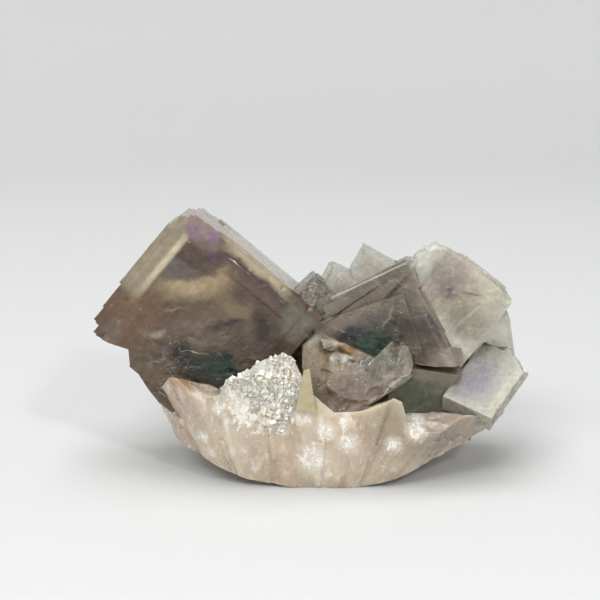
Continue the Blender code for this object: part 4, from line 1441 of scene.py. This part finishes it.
wall = BVHTree.FromObject(quartz, bpy.context.evaluated_depsgraph_get())
rng = random.Random(21)
seeds = []
while len(seeds) < DRUSE_GRAINS:
    x, z = rng.uniform(-12, -1), rng.uniform(8.5, 21.5)
    spot, facing = on_wall(wall, x, z)
    if spot is None or spot.y > 2 or not in_outline(x, z, DRUSE_OUTLINE):
        continue
    if x > -7.5 and z > 16 and rng.random() < 0.6:  # glassier, with fewer grains, high on the right
        continue
    tilt = Vector((rng.uniform(-0.6, 0.6), rng.uniform(-0.2, 0.3), rng.uniform(-0.3, 0.7)))
    lie = (facing + tilt).normalized()
    width = rng.uniform(0.1, 0.34)
    if len(seeds) % 4 == 0 and z < 17.5:  # every fourth is a larger one, except near the top
        width = rng.uniform(0.4, 1.0)
    sunk = 0.8 * width
    seeds.append((spot - lie * sunk, lie, width, sunk + rng.uniform(0.08, 0.28)))
druse_look = clear_grains("clear_druse", 0.15, ((222, 214, 194), (176, 167, 146)), 0.65)
druse = sprout("clear_quartz_druse", seeds, druse_look, sides=5, tip=0.7)
cream_look = clear_grains("cream_quartz", 0.1, ((176, 163, 130), (160, 147, 114)), 0.2)
solid = bmesh.new()
add_hull(solid, CREAM_PRISM)
prism = to_object("cream_quartz_prism", solid)
prism.data.materials.append(cream_look)
seeds = []
for x, z, reach, count in PAINTED_HIGHLIGHT_PATCHES:
    for _ in range(count):
        spot, facing = on_wall(wall, rng.gauss(x, reach / 3), rng.gauss(z, reach / 3))
        if spot is None:
            continue
        tilt = Vector((rng.uniform(-1, 1), rng.uniform(-1, 1), rng.uniform(-1, 1))) * 0.7
        lie = (facing + tilt).normalized()
        width = rng.uniform(0.08, 0.24)
        sunk = 0.25
        seeds.append((spot - lie * sunk, lie, width, sunk + width * rng.uniform(0.2, 0.8)))
white_look = clear_grains("white_grains", 0.0, ((252, 247, 238), (232, 224, 210)))
sparkles = sprout("quartz_sparkles", seeds, white_look, tip=0.5)
for grains in (druse, prism, sparkles):
    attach(grains, "root")

# ------------------------------------------------------------------------------------------------
# Floor, lights and camera: a pale round dish that curves up out of sight, a large soft light overhead, one
# in front on the left, and a small one in front on the right for glints. The camera looks a little down.

DISH_PROFILE = (  # how far out, and how high, in metres
    (0, 0),
    (0.34, 0),
    (0.42, 0.01),
    (0.50, 0.045),
    (0.56, 0.11),
    (0.60, 0.20),
    (0.62, 0.32),
    (0.63, 0.6),
)
bm = bmesh.new()
profile = [bm.verts.new((reach, 0, height)) for reach, height in DISH_PROFILE]
joined = [bm.edges.new(pair) for pair in zip(profile, profile[1:])]
bmesh.ops.spin(
    bm, geom=profile + joined, cent=(0, 0, 0), axis=(0, 0, 1), angle=math.tau, steps=96, use_merge=True
)
bmesh.ops.remove_doubles(bm, verts=bm.verts, dist=0.01 * MM)
bmesh.ops.recalc_face_normals(bm, faces=bm.faces)
for face in bm.faces:
    face.smooth = True
mesh = bpy.data.meshes.new("dish")
bm.to_mesh(mesh)
bm.free()
floor = bpy.data.objects.new("dish", mesh)
bpy.context.scene.collection.objects.link(floor)
backdrop = bpy.data.materials.new("pale_backdrop")
backdrop.use_nodes = True
backdrop_shader = backdrop.node_tree.nodes["Principled BSDF"]
backdrop_shader.inputs["Base Color"].default_value = (0.54, 0.545, 0.54, 1)
backdrop_shader.inputs["Roughness"].default_value = 0.8
backdrop_shader.inputs["Specular IOR Level"].default_value = 0.1
mesh.materials.append(backdrop)


def add_soft_light(name, spot, aim, width, height, power, colour=(1, 1, 1)):
    """A rectangular soft box, turned to face a point."""
    lamp = bpy.data.lights.new(name, "AREA")
    lamp.shape = "RECTANGLE"
    lamp.size = width
    lamp.size_y = height
    lamp.energy = power
    lamp.color = colour
    made = bpy.data.objects.new(name, lamp)
    made.location = spot
    made.rotation_euler = (Vector(aim) - Vector(spot)).to_track_quat("-Z", "Y").to_euler()
    bpy.context.scene.collection.objects.link(made)


add_soft_light("overhead", (-0.05, 0.02, 0.75), (0, 0.02, 0), 0.7, 0.6, 4.9)
add_soft_light("front_left", (-0.22, -0.5, 0.5), (0, 0.05, 0.03), 0.36, 0.22, 2.9)
add_soft_light("glint", (0.2, -0.5, 0.35), (0, 0, 0.02), 0.06, 0.05, 1.2)

CAMERA_RISE = 12  # degrees
CAMERA_DISTANCE = 0.235
WORLD_GREY = (0.17, 0.175, 0.18, 1)
eye = bpy.data.cameras.new("camera")
eye.lens = 100
eye.sensor_width = 36
camera = bpy.data.objects.new("camera", eye)
bpy.context.scene.collection.objects.link(camera)
rise = math.radians(CAMERA_RISE)
forward = Vector((0, math.cos(rise), -math.sin(rise)))
upward = Vector((0, math.sin(rise), math.cos(rise)))
# aimed at the middle of the specimen's front, a little left of its centre line and just inside it
aim = Vector((0, -14 * MM, 0)) + upward * 26.7 * MM + Vector((-1.5 * MM, 0, 0)) + forward * 2.5 * MM
camera.location = aim - forward * CAMERA_DISTANCE
camera.rotation_euler = (math.radians(90 - CAMERA_RISE), 0, 0)
bpy.context.scene.camera = camera
world = bpy.data.worlds.new("world")
world.use_nodes = True
bpy.context.scene.world = world
world.node_tree.nodes["Background"].inputs["Color"].default_value = WORLD_GREY
bpy.context.scene.view_settings.view_transform = "Standard"
